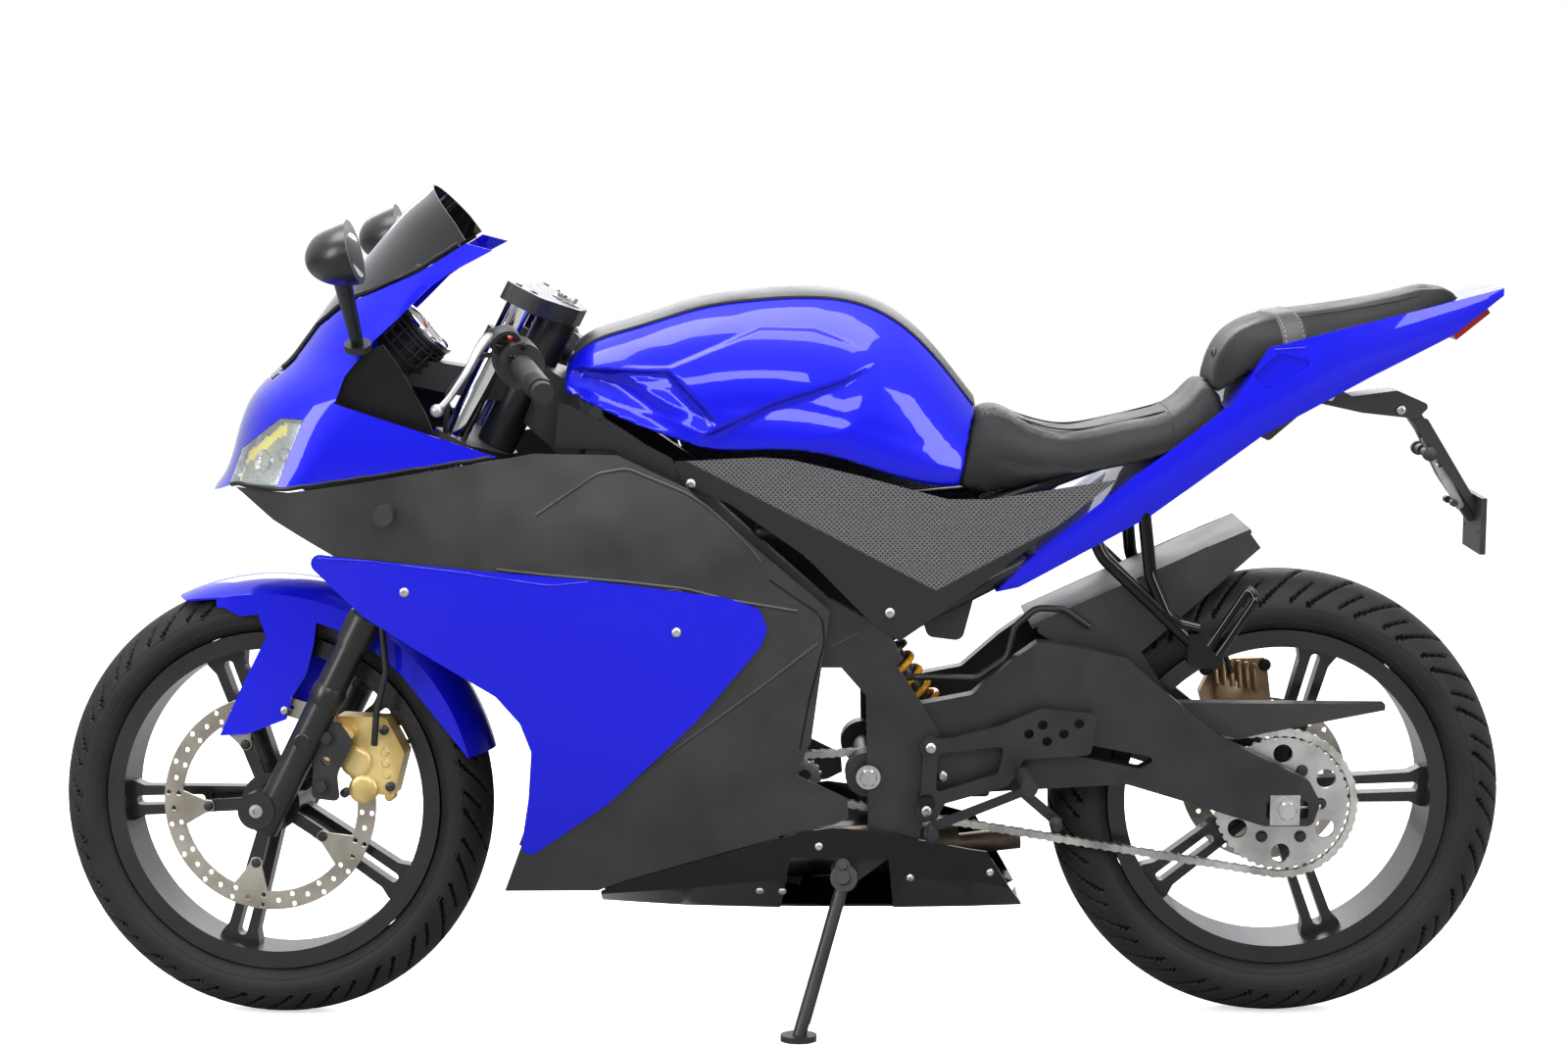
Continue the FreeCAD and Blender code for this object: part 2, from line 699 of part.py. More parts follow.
def make_steering():
    add_steered("front_axle", [front_axle_rod()])
    add_steered("fork_legs", [fork_leg(fork_y), fork_leg(-fork_y)])
    add_steered("fork_tubes", [stanchion(fork_y), stanchion(-fork_y)])
    yoke_solid = yokes()
    caliper = front_caliper()
    lever_solids = [lever(1), lever(-1)]
    bars = [fuse_all([clip_on(side), switch_housing(side)]) for side in (1, -1)]
    add_steered("yokes", [yoke_solid])
    add_steered("handlebars", bars)
    add_steered("grips", grip(1) + grip(-1))
    add_steered("levers", lever_solids)
    add_steered("front_mudguard", [front_mudguard()])
    add_steered("front_caliper", [caliper])
    lines = [hose(front_hose_shares, hose_radius), hose(cable_shares, cable_radius),
             hose(cable_shares, cable_radius, -1)]
    legs = [fork_leg(fork_y), fork_leg(-fork_y), stanchion(fork_y), stanchion(-fork_y)]
    for other in [yoke_solid, caliper] + lever_solids + bars + legs:
        lines = [line.cut(other) for line in lines]
    add_steered("control_lines", lines)


# Frame, engine and swingarm
spar_shares = [(912, 834), (797, 756), (610, 590), (533, 553), (508, 500), (650, 500), (800, 640),
               (916, 730), (936, 762)]
pivot_plate_shares = [(596, 566), (546, 542), (461, 412), (490, 262), (556, 250), (560, 462), (604, 512)]
engine_shares = [(930, 300), (930, 400), (860, 560), (700, 560), (675, 480), (675, 235), (860, 225)]
pivot_plate_inner_y = 116.5
pivot_plate_outer_y = 124.0
pivot_bolt_radius = 8.0
pivot_nut_radius = 14.0
cross_tube_radius = 9.0
rail_radius = 10.0
upper_rail_shares = [(706, 676, 98), (420, 705, 83), (-60, 880, 59)]
lower_rail_shares = [(552, 528, 98), (330, 640, 83), (60, 806, 69)]
rail_strut_shares = [(104, 822, 65), (76, 794, 70)]


web_shares = [(985, 890), (945, 870), (905, 800), (960, 770), (1015, 815)]
web_plan_shares = [(880, 106), (936, 106), (975, 62), (1030, 34)]
cross_tube_places = [(540, 520, 104), (520, 276, 120), (-52, 872, 62)]


def stand_lug():
    """Lug below the pivot plate, with the pin that the side stand swings on."""
    top = stand_pivot_point()
    axis = stand_axis()
    clear = stand_leg_radius + running_gap
    pin = rod(top - axis * (3 * stand_leg_radius), top + axis * (2 * stand_leg_radius), stand_pin_radius)
    boss = rod(top - axis * (3 * stand_leg_radius), top - axis * clear, 1.3 * stand_leg_radius)
    head = rod(top + axis * clear, top + axis * (2 * stand_leg_radius), stand_leg_radius)
    lug = side_plate(stand_lug_shares, stand_pivot_y - 3.4 * stand_leg_radius, stand_pivot_y - 2.4 * stand_leg_radius)
    return [pin, boss, head, lug]


def frame():
    """Two pressed spars with pivot plates, tied by the head tube, cross tubes and seat rails."""
    spar = side_plate(spar_shares, spar_inner_y, spar_outer_y, 2 * flange_wall)
    plate = side_plate(pivot_plate_shares, pivot_plate_inner_y, pivot_plate_outer_y, 2 * flange_wall)
    bolt_hole = Part.makeCylinder(pivot_bolt_radius + running_gap / 10, 4 * spar_outer_y,
                                  pivot - left * (2 * spar_outer_y), left)
    side = spar.fuse(plate).cut(bolt_hole)
    head_low = stem_point(lower_yoke_height) + steer_up * (yoke_wall / 2 + 4 * running_gap)
    head_high = stem_point(top_yoke_height) - steer_up * (yoke_wall / 2 + 4 * running_gap)
    head = rod(head_low, head_high, head_tube_radius)
    bore = rod(head_low - steer_up * overrun, head_high + steer_up * overrun, stem_radius + running_gap)
    half_plan = [V(x * grid, y, 0) for x, y in web_plan_shares]
    plan = half_plan + [V(point.x, -point.y, 0) for point in reversed(half_plan)]
    prism = Part.Face(wire_of(plan)).extrude(V(0, 0, wheelbase))
    web = side_plate(web_shares, -spar_outer_y, spar_outer_y).common(prism)
    core = web.fuse(head).cut(bore)
    crosses = [rod(grid_point(x, z, -y), grid_point(x, z, y), cross_tube_radius) for x, z, y in cross_tube_places]
    return fuse_all([side, mirrored(side), core] + crosses + rails() + stand_lug())


def rails():
    """Seat rails: an upper and a lower tube on each side, tied by short struts."""
    tubes = []
    for side in (-1, 1):
        upper = [grid_point(x, z, side * y) for x, z, y in upper_rail_shares]
        lower = [grid_point(x, z, side * y) for x, z, y in lower_rail_shares]
        strut = [grid_point(x, z, side * y) for x, z, y in rail_strut_shares]
        tubes.append(bent_rod(upper, rail_radius, 4 * rail_radius))
        tubes.append(bent_rod(lower, rail_radius, 4 * rail_radius))
        tubes.append(rod(upper[1], lower[1], cross_tube_radius))
        tubes.append(rod(strut[0], strut[1], cross_tube_radius))
    return tubes


def pivot_bolt():
    shaft = Part.makeCylinder(pivot_bolt_radius, 2 * pivot_plate_outer_y, pivot - left * pivot_plate_outer_y, left)
    near_nut = Part.makeCylinder(pivot_nut_radius, flange_wall, pivot + left * pivot_plate_outer_y, left)
    return fuse_all([shaft, near_nut, mirrored(near_nut)])


def engine():
    return side_plate(engine_shares, -engine_half_width, engine_half_width, 2 * flange_wall)


arm_shares = [(548, 384), (505, 446), (420, 462), (368, 508), (333, 533), (281, 526), (216, 511), (150, 454),
              (84, 401), (-30, 346), (-46, 316), (-36, 284), (29, 284), (147, 321), (213, 341), (548, 322)]
arm_slot_shares = [(292, 400), (284, 380), (196, 362), (170, 376)]
axle_slot_shares = [(26, 318), (-30, 318), (-30, 294), (26, 294)]
arm_inner_y = 89.0
arm_outer_y = 115.0
arm_boss_radius = 30.0
arm_tube_radius = 14.0
bridge_shares = [(480, 362), (400, 362), (392, 318), (480, 318)]


def swingarm():
    """Two side beams on a pivot tube, with a bridge that passes between the chain's runs."""
    beam = side_plate(arm_shares, arm_inner_y, arm_outer_y, 2 * flange_wall)
    boss = Part.makeCylinder(arm_boss_radius, arm_outer_y - arm_inner_y, pivot + left * arm_inner_y, left)
    beam = beam.fuse(boss)
    beam = beam.cut(side_plate(axle_slot_shares, -overrun, 4 * overrun, flange_wall))
    near = beam.cut(side_plate(arm_slot_shares, -overrun, 4 * overrun, flange_wall))
    tube = Part.makeCylinder(arm_tube_radius, 2 * arm_inner_y, pivot - left * arm_inner_y, left)
    bridge = side_plate(bridge_shares, -arm_inner_y, arm_inner_y, flange_wall)
    solid = fuse_all([near, mirrored(beam), tube, bridge])
    hole = Part.makeCylinder(pivot_bolt_radius + running_gap / 10, 4 * arm_outer_y,
                             pivot - left * (2 * arm_outer_y), left)
    return solid.cut(hole)


rear_axle_end_y = 124.0
rear_spacer_radius = 15.0
axle_nut_radius = 17.0


def rear_axle_rod():
    """Rear axle with spacers between the hub and the arm, and its nuts outside the arm."""
    shaft = Part.makeCylinder(axle_radius, 2 * rear_axle_end_y, rear_axle - left * rear_axle_end_y, left)
    near = chain_y + sprocket_wall / 2 + running_gap
    far = -rear_disc_y + disc_wall / 2 + running_gap
    solids = [shaft,
              Part.makeCylinder(rear_spacer_radius, arm_inner_y - near, rear_axle + left * near, left),
              Part.makeCylinder(rear_spacer_radius, arm_inner_y - far, rear_axle - left * arm_inner_y, left),
              Part.makeCylinder(axle_nut_radius, flange_wall, rear_axle + left * arm_outer_y, left),
              Part.makeCylinder(axle_nut_radius, flange_wall, rear_axle - left * (arm_outer_y + flange_wall), left)]
    return fuse_all(solids)


rear_caliper_shares = [(70, 476), (0, 478), (-10, 404), (20, 382), (80, 388), (92, 430)]


def rear_caliper():
    """Brake caliper over the rear disc, with the bracket that holds it on the right arm."""
    body = side_plate(rear_caliper_shares, rear_disc_y - caliper_wall * 0.7, rear_disc_y + caliper_wall * 0.25,
                      flange_wall)
    slot = ring(V(rear_axle.x, rear_disc_y, rear_axle.z), left, rear_disc_radius + 2 * disc_wall,
                hub_radius, disc_wall + 8 * running_gap)
    return body.cut(slot)


# Body panels
tank_stations_shares = [
    (957, 897, [[(62, 889), (80, 882), (91, 872)], [(91, 872), (92, 865), (93, 858)]]),
    (930, 928, [[(66, 919), (92, 904), (107, 886)], [(107, 886), (104, 869), (109, 849)]]),
    (870, 949, [[(64, 941), (102, 915), (123, 879)], [(123, 879), (116, 852), (125, 823)]]),
    (815, 967, [[(61, 958), (108, 915), (130, 845)], [(130, 845), (125, 824), (129, 803)]]),
    (760, 981, [[(58, 972), (112, 922), (133, 842)], [(133, 842), (134, 815), (131, 788)]]),
    (640, 991, [[(56, 982), (108, 930), (133, 838)], [(133, 838), (135, 812), (131, 786)]]),
    (560, 979, [[(52, 970), (98, 915), (125, 818)], [(125, 818), (127, 790), (124, 765)]]),
    (480, 925, [[(47, 915), (84, 865), (107, 790)], [(107, 790), (110, 764), (107, 740)]]),
    (415, 846, [[(40, 836), (66, 805), (84, 768)], [(84, 768), (87, 750), (85, 735)]]),
]
tank_strip_lift = 3.0
tank_strip_side_shares = [(946, 880), (946, 1010), (380, 1010), (408, 800), (700, 900)]
tank_strip_shares = [(957, 62), (930, 66), (870, 64), (760, 58), (640, 56), (560, 52), (480, 47), (415, 40)]
seat_stations_shares = [
    (455, 772, [[(56, 766), (76, 756), (84, 736)]]),
    (430, 812, [[(60, 803), (86, 774), (94, 732)]]),
    (400, 838, [[(62, 828), (93, 788), (100, 728)]]),
    (350, 820, [[(70, 813), (98, 786), (106, 738)]]),
    (300, 805, [[(80, 801), (104, 780), (112, 750)]]),
    (215, 820, [[(86, 815), (108, 794), (114, 766)]]),
    (130, 856, [[(80, 850), (102, 824), (106, 790)]]),
    (90, 858, [[(70, 852), (90, 832), (94, 812)]]),
]
pillion_stations_shares = [
    (104, 880, [[(48, 879), (60, 875), (66, 868)]]),
    (82, 934, [[(54, 929), (72, 902), (80, 868)]]),
    (20, 962, [[(62, 956), (83, 936), (90, 908)]]),
    (-40, 970, [[(60, 965), (79, 948), (85, 926)]]),
    (-100, 979, [[(56, 975), (74, 960), (80, 940)]]),
    (-160, 992, [[(50, 988), (64, 974), (68, 956)]]),
    (-200, 1000, [[(42, 997), (52, 986), (55, 969)]]),
    (-226, 984, [[(30, 982), (38, 977), (42, 970)]]),
]
tail_side_shares = [(390, 600), (330, 660), (207, 755), (84, 846), (34, 921), (-60, 944), (-284, 996),
                    (-284, 986), (-215, 935), (-100, 880), (41, 806), (187, 700), (360, 606)]
tail_crease_shares = [(400, 600, 118), (300, 660, 121), (207, 722, 119), (80, 806, 112), (-60, 893, 97),
                      (-200, 950, 68), (-290, 994, 42)]
tail_upper_share = 0.16
tail_lower_share = 0.4
tail_section_reach = 170.0
wing_shares = [(58, 884), (22, 914), (-28, 903), (36, 866)]
wing_y_share = 98


def tail():
    """Solid tail between the seats' rails: a creased form cut to the side outline, with a wing-like recess."""
    wires = []
    for x, z, y in tail_crease_shares:
        crease = V(x * grid, y * grid, z * grid)
        upper = V(crease.x, crease.y * (1 - tail_upper_share), crease.z + tail_section_reach)
        lower = V(crease.x, crease.y * (1 - tail_lower_share), crease.z - tail_section_reach)
        half = [upper, crease, lower]
        wires.append(wire_of(half + [V(point.x, -point.y, point.z) for point in reversed(half)]))
    form = loft(wires, False)
    side = side_plate(tail_side_shares, -2 * tail_half_width, 2 * tail_half_width)
    wing = side_plate(wing_shares, wing_y_share * grid, 2 * tail_half_width, flange_wall)
    return side.common(form).cut(wing).cut(mirrored(wing))


def tank_strip(tank):
    """Thin black cover along the top of the tank."""
    half = [V(x * grid, y * grid, 0) for x, y in tank_strip_shares]
    plan = half + [V(point.x, -point.y, 0) for point in reversed(half)]
    prism = Part.Face(wire_of(plan)).extrude(V(0, 0, wheelbase))
    raised = smooth_body(tank_stations_shares, tank_strip_lift)
    upper = side_plate(tank_strip_side_shares, -tank_half_width, tank_half_width)
    return raised.common(prism).common(upper).cut(tank)


fairing_x_shares = [1400, 1300, 1200, 1080, 950, 800, 690, 580]
fairing_z_shares = [180, 290, 390, 490, 590, 680, 800]
fairing_y_shares = [
    [40, 50, 60, 70, 80, 95, 110],
    [90, 100, 115, 130, 145, 158, 166],
    [112, 130, 145, 165, 178, 182, 176],
    [118, 145, 162, 178, 188, 186, 172],
    [118, 148, 165, 175, 182, 180, 162],
    [112, 145, 160, 166, 170, 166, 150],
    [106, 140, 152, 156, 158, 156, 142],
    [104, 138, 146, 150, 150, 148, 138],
]
panel_lift = 4.0
middle_fairing_shares = [
    (1384, 738), (1333, 699), (1252, 655), (1205, 585), (1040, 478), (1008, 436), (994, 396), (1000, 331),
    (1016, 262), (1039, 198), (915, 198), (875, 214), (643, 285), (604, 291), (583, 301), (585, 328), (654, 361),
    (633, 406), (621, 498), (609, 580), (796, 742), (885, 785), (992, 788), (1040, 780), (1200, 754), (1310, 736)]
side_panel_shares = [
    (1304, 659), (1137, 646), (923, 626), (746, 601), (701, 585), (691, 558), (701, 533), (784, 436),
    (899, 325), (1019, 238), (1004, 331), (999, 396), (1013, 435), (1044, 472), (1214, 577)]


def fairing_face(lift):
    """Left side surface of the fairing, moved out by a lift."""
    rows = []
    for x, widths in zip(fairing_x_shares, fairing_y_shares):
        rows.append([V(x * grid, y * grid + lift, z * grid) for z, y in zip(fairing_z_shares, widths)])
    surface = Part.BSplineSurface()
    surface.interpolate(rows)
    return surface.toShape()


def fairing_panel(shares, lift, wall, radius):
    skin = fairing_face(lift).extrude(V(0, wall, 0))
    return skin.common(side_plate(shares, 0, 3 * tank_half_width, radius))


nose_levels_shares = [
    (700, 1428, 166, 125), (741, 1419, 171, 135), (790, 1400, 172, 150), (850, 1376, 167, 165),
    (905, 1322, 158, 170), (960, 1282, 148, 168), (1010, 1242, 138, 160), (1060, 1200, 125, 140),
    (1100, 1164, 114, 122), (1140, 1124, 100, 106)]
nose_rear_x_share = 960
upper_fairing_shares = [
    (1440, 719), (1440, 873), (1343, 873), (1316, 895), (1281, 943), (1235, 978), (1200, 992), (1143, 1017),
    (1080, 1056), (1046, 1047), (1101, 1018), (1127, 1000), (1165, 962), (1200, 930), (1236, 886), (1248, 852),
    (1039, 784), (1200, 758), (1319, 740), (1387, 742)]
windscreen_shares = [
    (1440, 875), (1344, 875), (1318, 898), (1283, 946), (1237, 981), (1202, 995), (1145, 1020), (1081, 1060),
    (1096, 1082), (1134, 1128), (1440, 1138)]
headlight_shares = [(1397, 741), (1380, 786), (1321, 831), (1290, 831), (1324, 747), (1322, 740)]
headlight_inner_y = 34.0
headlight_depth = 32.0
headlight_fit_share = 0.98


def nose_solid(inset):
    """Filled form of nose and screen: level outlines with an elliptic front, drawn smaller by an inset."""
    wires = []
    for z, front, half, length in nose_levels_shares:
        width = half * grid - inset
        reach = length * grid - inset
        centre = V((front - length) * grid, 0, z * grid)
        rear = nose_rear_x_share * grid
        start = V(centre.x, width, centre.z)
        end = V(centre.x, -width, centre.z)
        wires.append(Part.Wire([
            Part.LineSegment(V(rear, width, centre.z), start).toShape(),
            half_ellipse(start, width, reach),
            Part.LineSegment(end, V(rear, -width, centre.z)).toShape(),
            Part.LineSegment(V(rear, -width, centre.z), V(rear, width, centre.z)).toShape()]))
    return loft(wires, False)


def half_ellipse(start, width, reach):
    points = []
    for i in range(nose_arc_steps + 1):
        angle = math.pi / 2 - math.pi * i / nose_arc_steps
        points.append(V(start.x + reach * math.cos(angle), width * math.sin(angle), start.z))
    curve = Part.BSplineCurve()
    curve.interpolate(points)
    return curve.toShape()


nose_arc_steps = 12


def nose_shell(shares):
    shell = nose_solid(0).cut(nose_solid(shell_wall))
    return shell.common(side_plate(shares, -3 * tank_half_width, 3 * tank_half_width))


def upper_fairing():
    shell = nose_shell(upper_fairing_shares)
    for low, high in ((headlight_inner_y, 3 * tank_half_width), (-3 * tank_half_width, -headlight_inner_y)):
        shell = shell.cut(side_plate(headlight_shares, low, high))
    return shell


def windscreen():
    """Bubble screen above the nose, to its raised rear rim."""
    return nose_shell(windscreen_shares)


def headlight():
    centre_x = sum(x for x, z in headlight_shares) / len(headlight_shares)
    centre_z = sum(z for x, z in headlight_shares) / len(headlight_shares)
    inside = [(centre_x + headlight_fit_share * (x - centre_x), centre_z + headlight_fit_share * (z - centre_z))
              for x, z in headlight_shares]
    block = side_plate(inside, headlight_inner_y + panel_gap, 3 * tank_half_width)
    return nose_solid(0).common(block).cut(nose_solid(headlight_depth))


belly_stations_shares = [
    (912, [(113, 214), (110, 190), (72, 172), (0, 166)]),
    (800, [(130, 256), (118, 200), (84, 168), (0, 160)]),
    (640, [(141, 300), (132, 220), (92, 166), (0, 156)]),
    (540, [(139, 300), (130, 220), (90, 166), (0, 156)]),
    (420, [(120, 300), (110, 210), (76, 164), (0, 156)]),
    (346, [(92, 300), (84, 186), (60, 162), (0, 156)]),
]
belly_side_shares = [(912, 150), (912, 194), (875, 211), (643, 282), (604, 288), (539, 280), (397, 247),
                     (346, 164), (346, 150)]
belly_notch_shares = [(676, 140), (660, 246), (530, 246), (518, 140)]


def belly_pan():
    """Trough under the engine, open at the top, with a notch for the stand on the left."""
    outer = plain_body(belly_stations_shares)
    low = shell_wall / grid
    inner_stations = []
    for x, section in belly_stations_shares:
        inner = [(y - low if y else 0, z + low) for y, z in section]
        inner[0] = (inner[0][0], section[0][1])
        inner_stations.append((x, inner))
    inner = plain_body(inner_stations)
    trough = outer.cut(inner)
    trough = trough.common(side_plate(belly_side_shares, -3 * tank_half_width, 3 * tank_half_width))
    return trough.cut(side_plate(belly_notch_shares, 0.6 * tank_half_width, 3 * tank_half_width))


side_cover_shares = [
    (800, 742), (812, 773), (700, 779), (660, 776), (560, 752), (455, 724), (400, 724), (235, 750), (310, 690),
    (420, 604), (517, 536), (560, 566), (640, 648), (740, 718)]
side_cover_wall = 4.0
trim_shares = [(962, 850), (948, 846), (815, 777), (806, 742), (840, 748), (890, 788), (968, 792)]


def side_cover():
    return side_plate(side_cover_shares, spar_outer_y + running_gap, spar_outer_y + side_cover_wall)


def front_trim():
    """Panel between the tank's front and the fairing."""
    return side_plate(trim_shares, spar_outer_y + running_gap, spar_outer_y + side_cover_wall)


pod_face_x_share = 1146
pod_face_z_share = 938
pod_radius = 44.0
pod_depth = 58.0
pod_rim_wall = 8.0
pod_direction = V(0.73, 0, -0.68)


bracket_shares = [(1215, 905), (1195, 868), (1070, 842), (1015, 842), (1008, 874), (1150, 896)]
bracket_half_width = 20.0


def instruments():
    """Round instrument that faces the rider, on a stay from the head of the frame."""
    face = grid_point(pod_face_x_share, pod_face_z_share)
    back = pod_direction
    rim_part = rod(face, face + back * pod_rim_wall, pod_radius)
    body = rod(face + back * pod_rim_wall, face + back * pod_depth, 0.86 * pod_radius)
    rear = rod(face + back * pod_depth, face + back * (pod_depth + pod_rim_wall), 0.6 * pod_radius)
    stay = side_plate(bracket_shares, -bracket_half_width, bracket_half_width)
    head = rod(stem_point(lower_yoke_height), stem_point(top_yoke_height), head_tube_radius)
    return fuse_all([rim_part, body, rear, stay]).cut(head)


mirror_x_share = 1206
mirror_z_share = 1052
mirror_y = 262.0
mirror_half_width = 66.0
mirror_half_height = 41.0
mirror_depth = 62.0
stalk_radius = 8.0
stalk_top_radius = 12.0
mirror_tilt_deg = 14.0


mirror_rings = 6


def mirror_housing(centre):
    """Rounded housing: ellipses that shrink forward from the flat glass."""
    wires = []
    for i in range(mirror_rings + 1):
        turn = 0.5 * math.pi * i / mirror_rings * 0.96
        size = math.cos(turn)
        ahead = centre + V(mirror_depth * math.sin(turn), 0, 0)
        ellipse = Part.Ellipse(ahead + V(0, size * mirror_half_width, 0), ahead + V(0, 0, size * mirror_half_height),
                               ahead)
        wires.append(Part.Wire([ellipse.toShape()]))
    return loft(wires, False)


mirror_foot_y = 150.0
mirror_foot_x_share = 1218
mirror_foot_z_share = 925


def mirror(side):
    """Mirror on a stalk from the top of the nose; its glass faces the rider."""
    centre = grid_point(mirror_x_share, mirror_z_share, side * mirror_y)
    housing = mirror_housing(centre)
    housing.rotate(centre, left, mirror_tilt_deg)
    foot = grid_point(mirror_foot_x_share, mirror_foot_z_share, side * mirror_foot_y)
    top = centre + V(0.35 * mirror_depth, -side * 0.45 * mirror_half_width, -0.7 * mirror_half_height)
    along = top - foot
    stalk = Part.makeCone(stalk_radius, stalk_top_radius, along.Length, foot, along)
    base = rod(foot - V(0, 0, 0.5 * stalk_radius), foot + V(0, side * 0.4, 0.5) * stalk_radius, 2.2 * stalk_radius)
    return fuse_all([housing, stalk, base]).cut(nose_solid(-running_gap))


radiator_shares = [(1000, 650), (975, 644), (1000, 430), (1026, 436)]
radiator_half_width = 118.0


def radiator():
    return side_plate(radiator_shares, -radiator_half_width, radiator_half_width)


inner_trim_shares = [(1276, 812), (1276, 846), (1249, 869), (1238, 888), (1216, 914), (1188, 926), (1162, 888),
                     (1134, 836), (1118, 793), (1142, 786)]
inner_trim_plan_shares = [(1276, 176), (1244, 136), (1105, 133)]
inner_trim_wall = 3.0


def inner_trim():
    """Black panel inside the nose, from its skin in towards the fork."""
    outer = [V(x * grid, y, 0) for x, y in inner_trim_plan_shares]
    inner = [V(point.x, point.y - inner_trim_wall, 0) for point in reversed(outer)]
    strip = Part.Face(wire_of(outer + inner)).extrude(V(0, 0, wheelbase))
    return side_plate(inner_trim_shares, 0, 3 * tank_half_width).common(strip).common(nose_solid(shell_wall))


front_hose_shares = [(1128, 690, 84), (1190, 566, 101), (1182, 486, 103), (1196, 430, 99), (1202, 384, 88)]
cable_shares = [(1010, 908, 176), (1052, 902, 142), (1092, 856, 130), (1098, 792, 116)]
rear_hose_shares = [(522, 482, 117), (494, 481, 86), (412, 478, 84), (371, 506, 84), (362, 548, 84), (334, 573, 84),
                    (296, 572, 84), (262, 548, 84)]
hose_radius = 4.5
cable_radius = 3.6
hose_bend_share = 5


def hose(shares, radius, side=1):
    route = [grid_point(x, z, side * y) for x, z, y in shares]
    return bent_rod(route, radius, hose_bend_share * radius)


hugger_shares = [(330, 548), (50, 682), (36, 664), (192, 513), (146, 440), (260, 492), (331, 540)]
hugger_roof_shares = [(340, 549), (50, 688), (48, 683), (338, 544)]
hugger_half_width = 76.0


def hugger():
    """Rear inner mudguard: roof over the tyre and side walls that reach down to the arm."""
    wall = side_plate(hugger_shares, hugger_half_width, hugger_half_width + shell_wall)
    roof = side_plate(hugger_roof_shares, -hugger_half_width - shell_wall, hugger_half_width + shell_wall)
    return fuse_all([wall, mirrored(wall), roof])


chain_guard_roof_shares = [(144, 446), (140, 441), (0, 428), (-130, 436), (-134, 444)]
chain_guard_shares = [(144, 420), (144, 446), (-134, 444), (-134, 436), (30, 404), (62, 396)]


def chain_guard():
    """Guard over the chain's upper run: a roof and an outer skirt."""
    outer = arm_inner_y - running_gap
    inner = chain_y + chain_width / 2 + 2 * running_gap
    roof = side_plate(chain_guard_roof_shares, chain_y - chain_width, outer)
    return fuse_all([roof, side_plate(chain_guard_shares, inner, outer)])


shock_low_shares = (438, 372)
shock_high_shares = (528, 508)
shock_spring_radius = 27.0
shock_body_radius = 17.0


def rear_shock():
    low = grid_point(*shock_low_shares)
    high = grid_point(*shock_high_shares)
    along = (high - low).normalize()
    body = rod(low, high - along * running_gap, shock_body_radius)
    spring = rod(low + along * shock_body_radius, high - along * 2 * shock_body_radius, shock_spring_radius)
    return fuse_all([body, spring])


pipe_radius = 17.0
silencer_radius = 33.0
header_route_shares = [(933, 350, -30), (985, 345, -30), (982, 208, -34), (900, 193, -40), (640, 205, -54)]
silencer_start_shares = (665, 205, -52)
silencer_end_shares = (425, 214, -66)
outlet_shares = (338, 222, -72)


def exhaust():
    """Header pipe round the engine's front, and a silencer in the belly pan with a short outlet."""
    route = [grid_point(x, z, y) for x, z, y in header_route_shares]
    pipe = bent_rod(route, pipe_radius, 4 * pipe_radius)
    silencer = rod(grid_point(*silencer_start_shares), grid_point(*silencer_end_shares), silencer_radius)
    outlet = rod(grid_point(*silencer_end_shares), grid_point(*outlet_shares), 0.9 * pipe_radius)
    return fuse_all([pipe, silencer, outlet])


hanger_shares = [(484, 406), (490, 298), (468, 296), (456, 320), (372, 344), (352, 380), (264, 386), (256, 440),
                 (330, 447), (384, 424), (446, 408)]
hanger_window_shares = [(466, 388), (468, 334), (386, 360), (378, 398)]
heel_hole_shares = [(346, 414), (322, 404), (328, 426), (300, 414), (280, 428)]
heel_hole_radius = 6.5
hanger_bolt_shares = [(475, 395), (480, 310)]
hanger_wall = 8.0
peg_length = 84.0
peg_radius = 11.0
peg_shares = (352, 360)
toe_shares = (474, 288)
pedal_shares = [(352, 344), (300, 300), (310, 290), (356, 330), (470, 284), (478, 294)]


def footrest(side):
    """Footrest hanger with heel plate, peg and foot lever on one side."""
    inner = pivot_plate_outer_y + running_gap
    face = inner + flange_wall + hanger_wall
    plate = side_plate(hanger_shares, inner + flange_wall, face, flange_wall)
    plate = plate.cut(side_plate(hanger_window_shares, inner - overrun, face + overrun, flange_wall))
    for x, z in heel_hole_shares:
        plate = plate.cut(Part.makeCylinder(heel_hole_radius, 4 * overrun, grid_point(x, z, inner - overrun), left))
    spacers = [Part.makeCylinder(pivot_nut_radius, 2 * flange_wall, grid_point(x, z, inner), left)
               for x, z in hanger_bolt_shares]
    peg = rod(grid_point(*peg_shares, face - flange_wall), grid_point(*peg_shares, face + peg_length), peg_radius)
    pedal = side_plate(pedal_shares, face + running_gap, face + flange_wall + running_gap)
    toe = rod(grid_point(*toe_shares, face + flange_wall), grid_point(*toe_shares, face + 0.5 * peg_length),
              0.7 * peg_radius)
    solids = [fuse_all([plate, peg] + spacers), fuse_all([pedal, toe])]
    return solids if side > 0 else [mirrored(solid) for solid in solids]


passenger_tube_radius = 9.0
passenger_front_shares = [(262, 676, 102), (250, 646, 106), (122, 524, 118)]
passenger_rear_shares = [(196, 712, 102), (186, 620, 106), (160, 560, 114), (122, 551, 118)]
passenger_peg_shares = [(110, 530, 134), (60, 610, 140), (52, 596, 150), (100, 520, 146)]
passenger_block_shares = [(138, 548), (92, 544), (92, 500), (138, 504)]
passenger_block_inner_y = 106.0
passenger_block_outer_y = 136.0


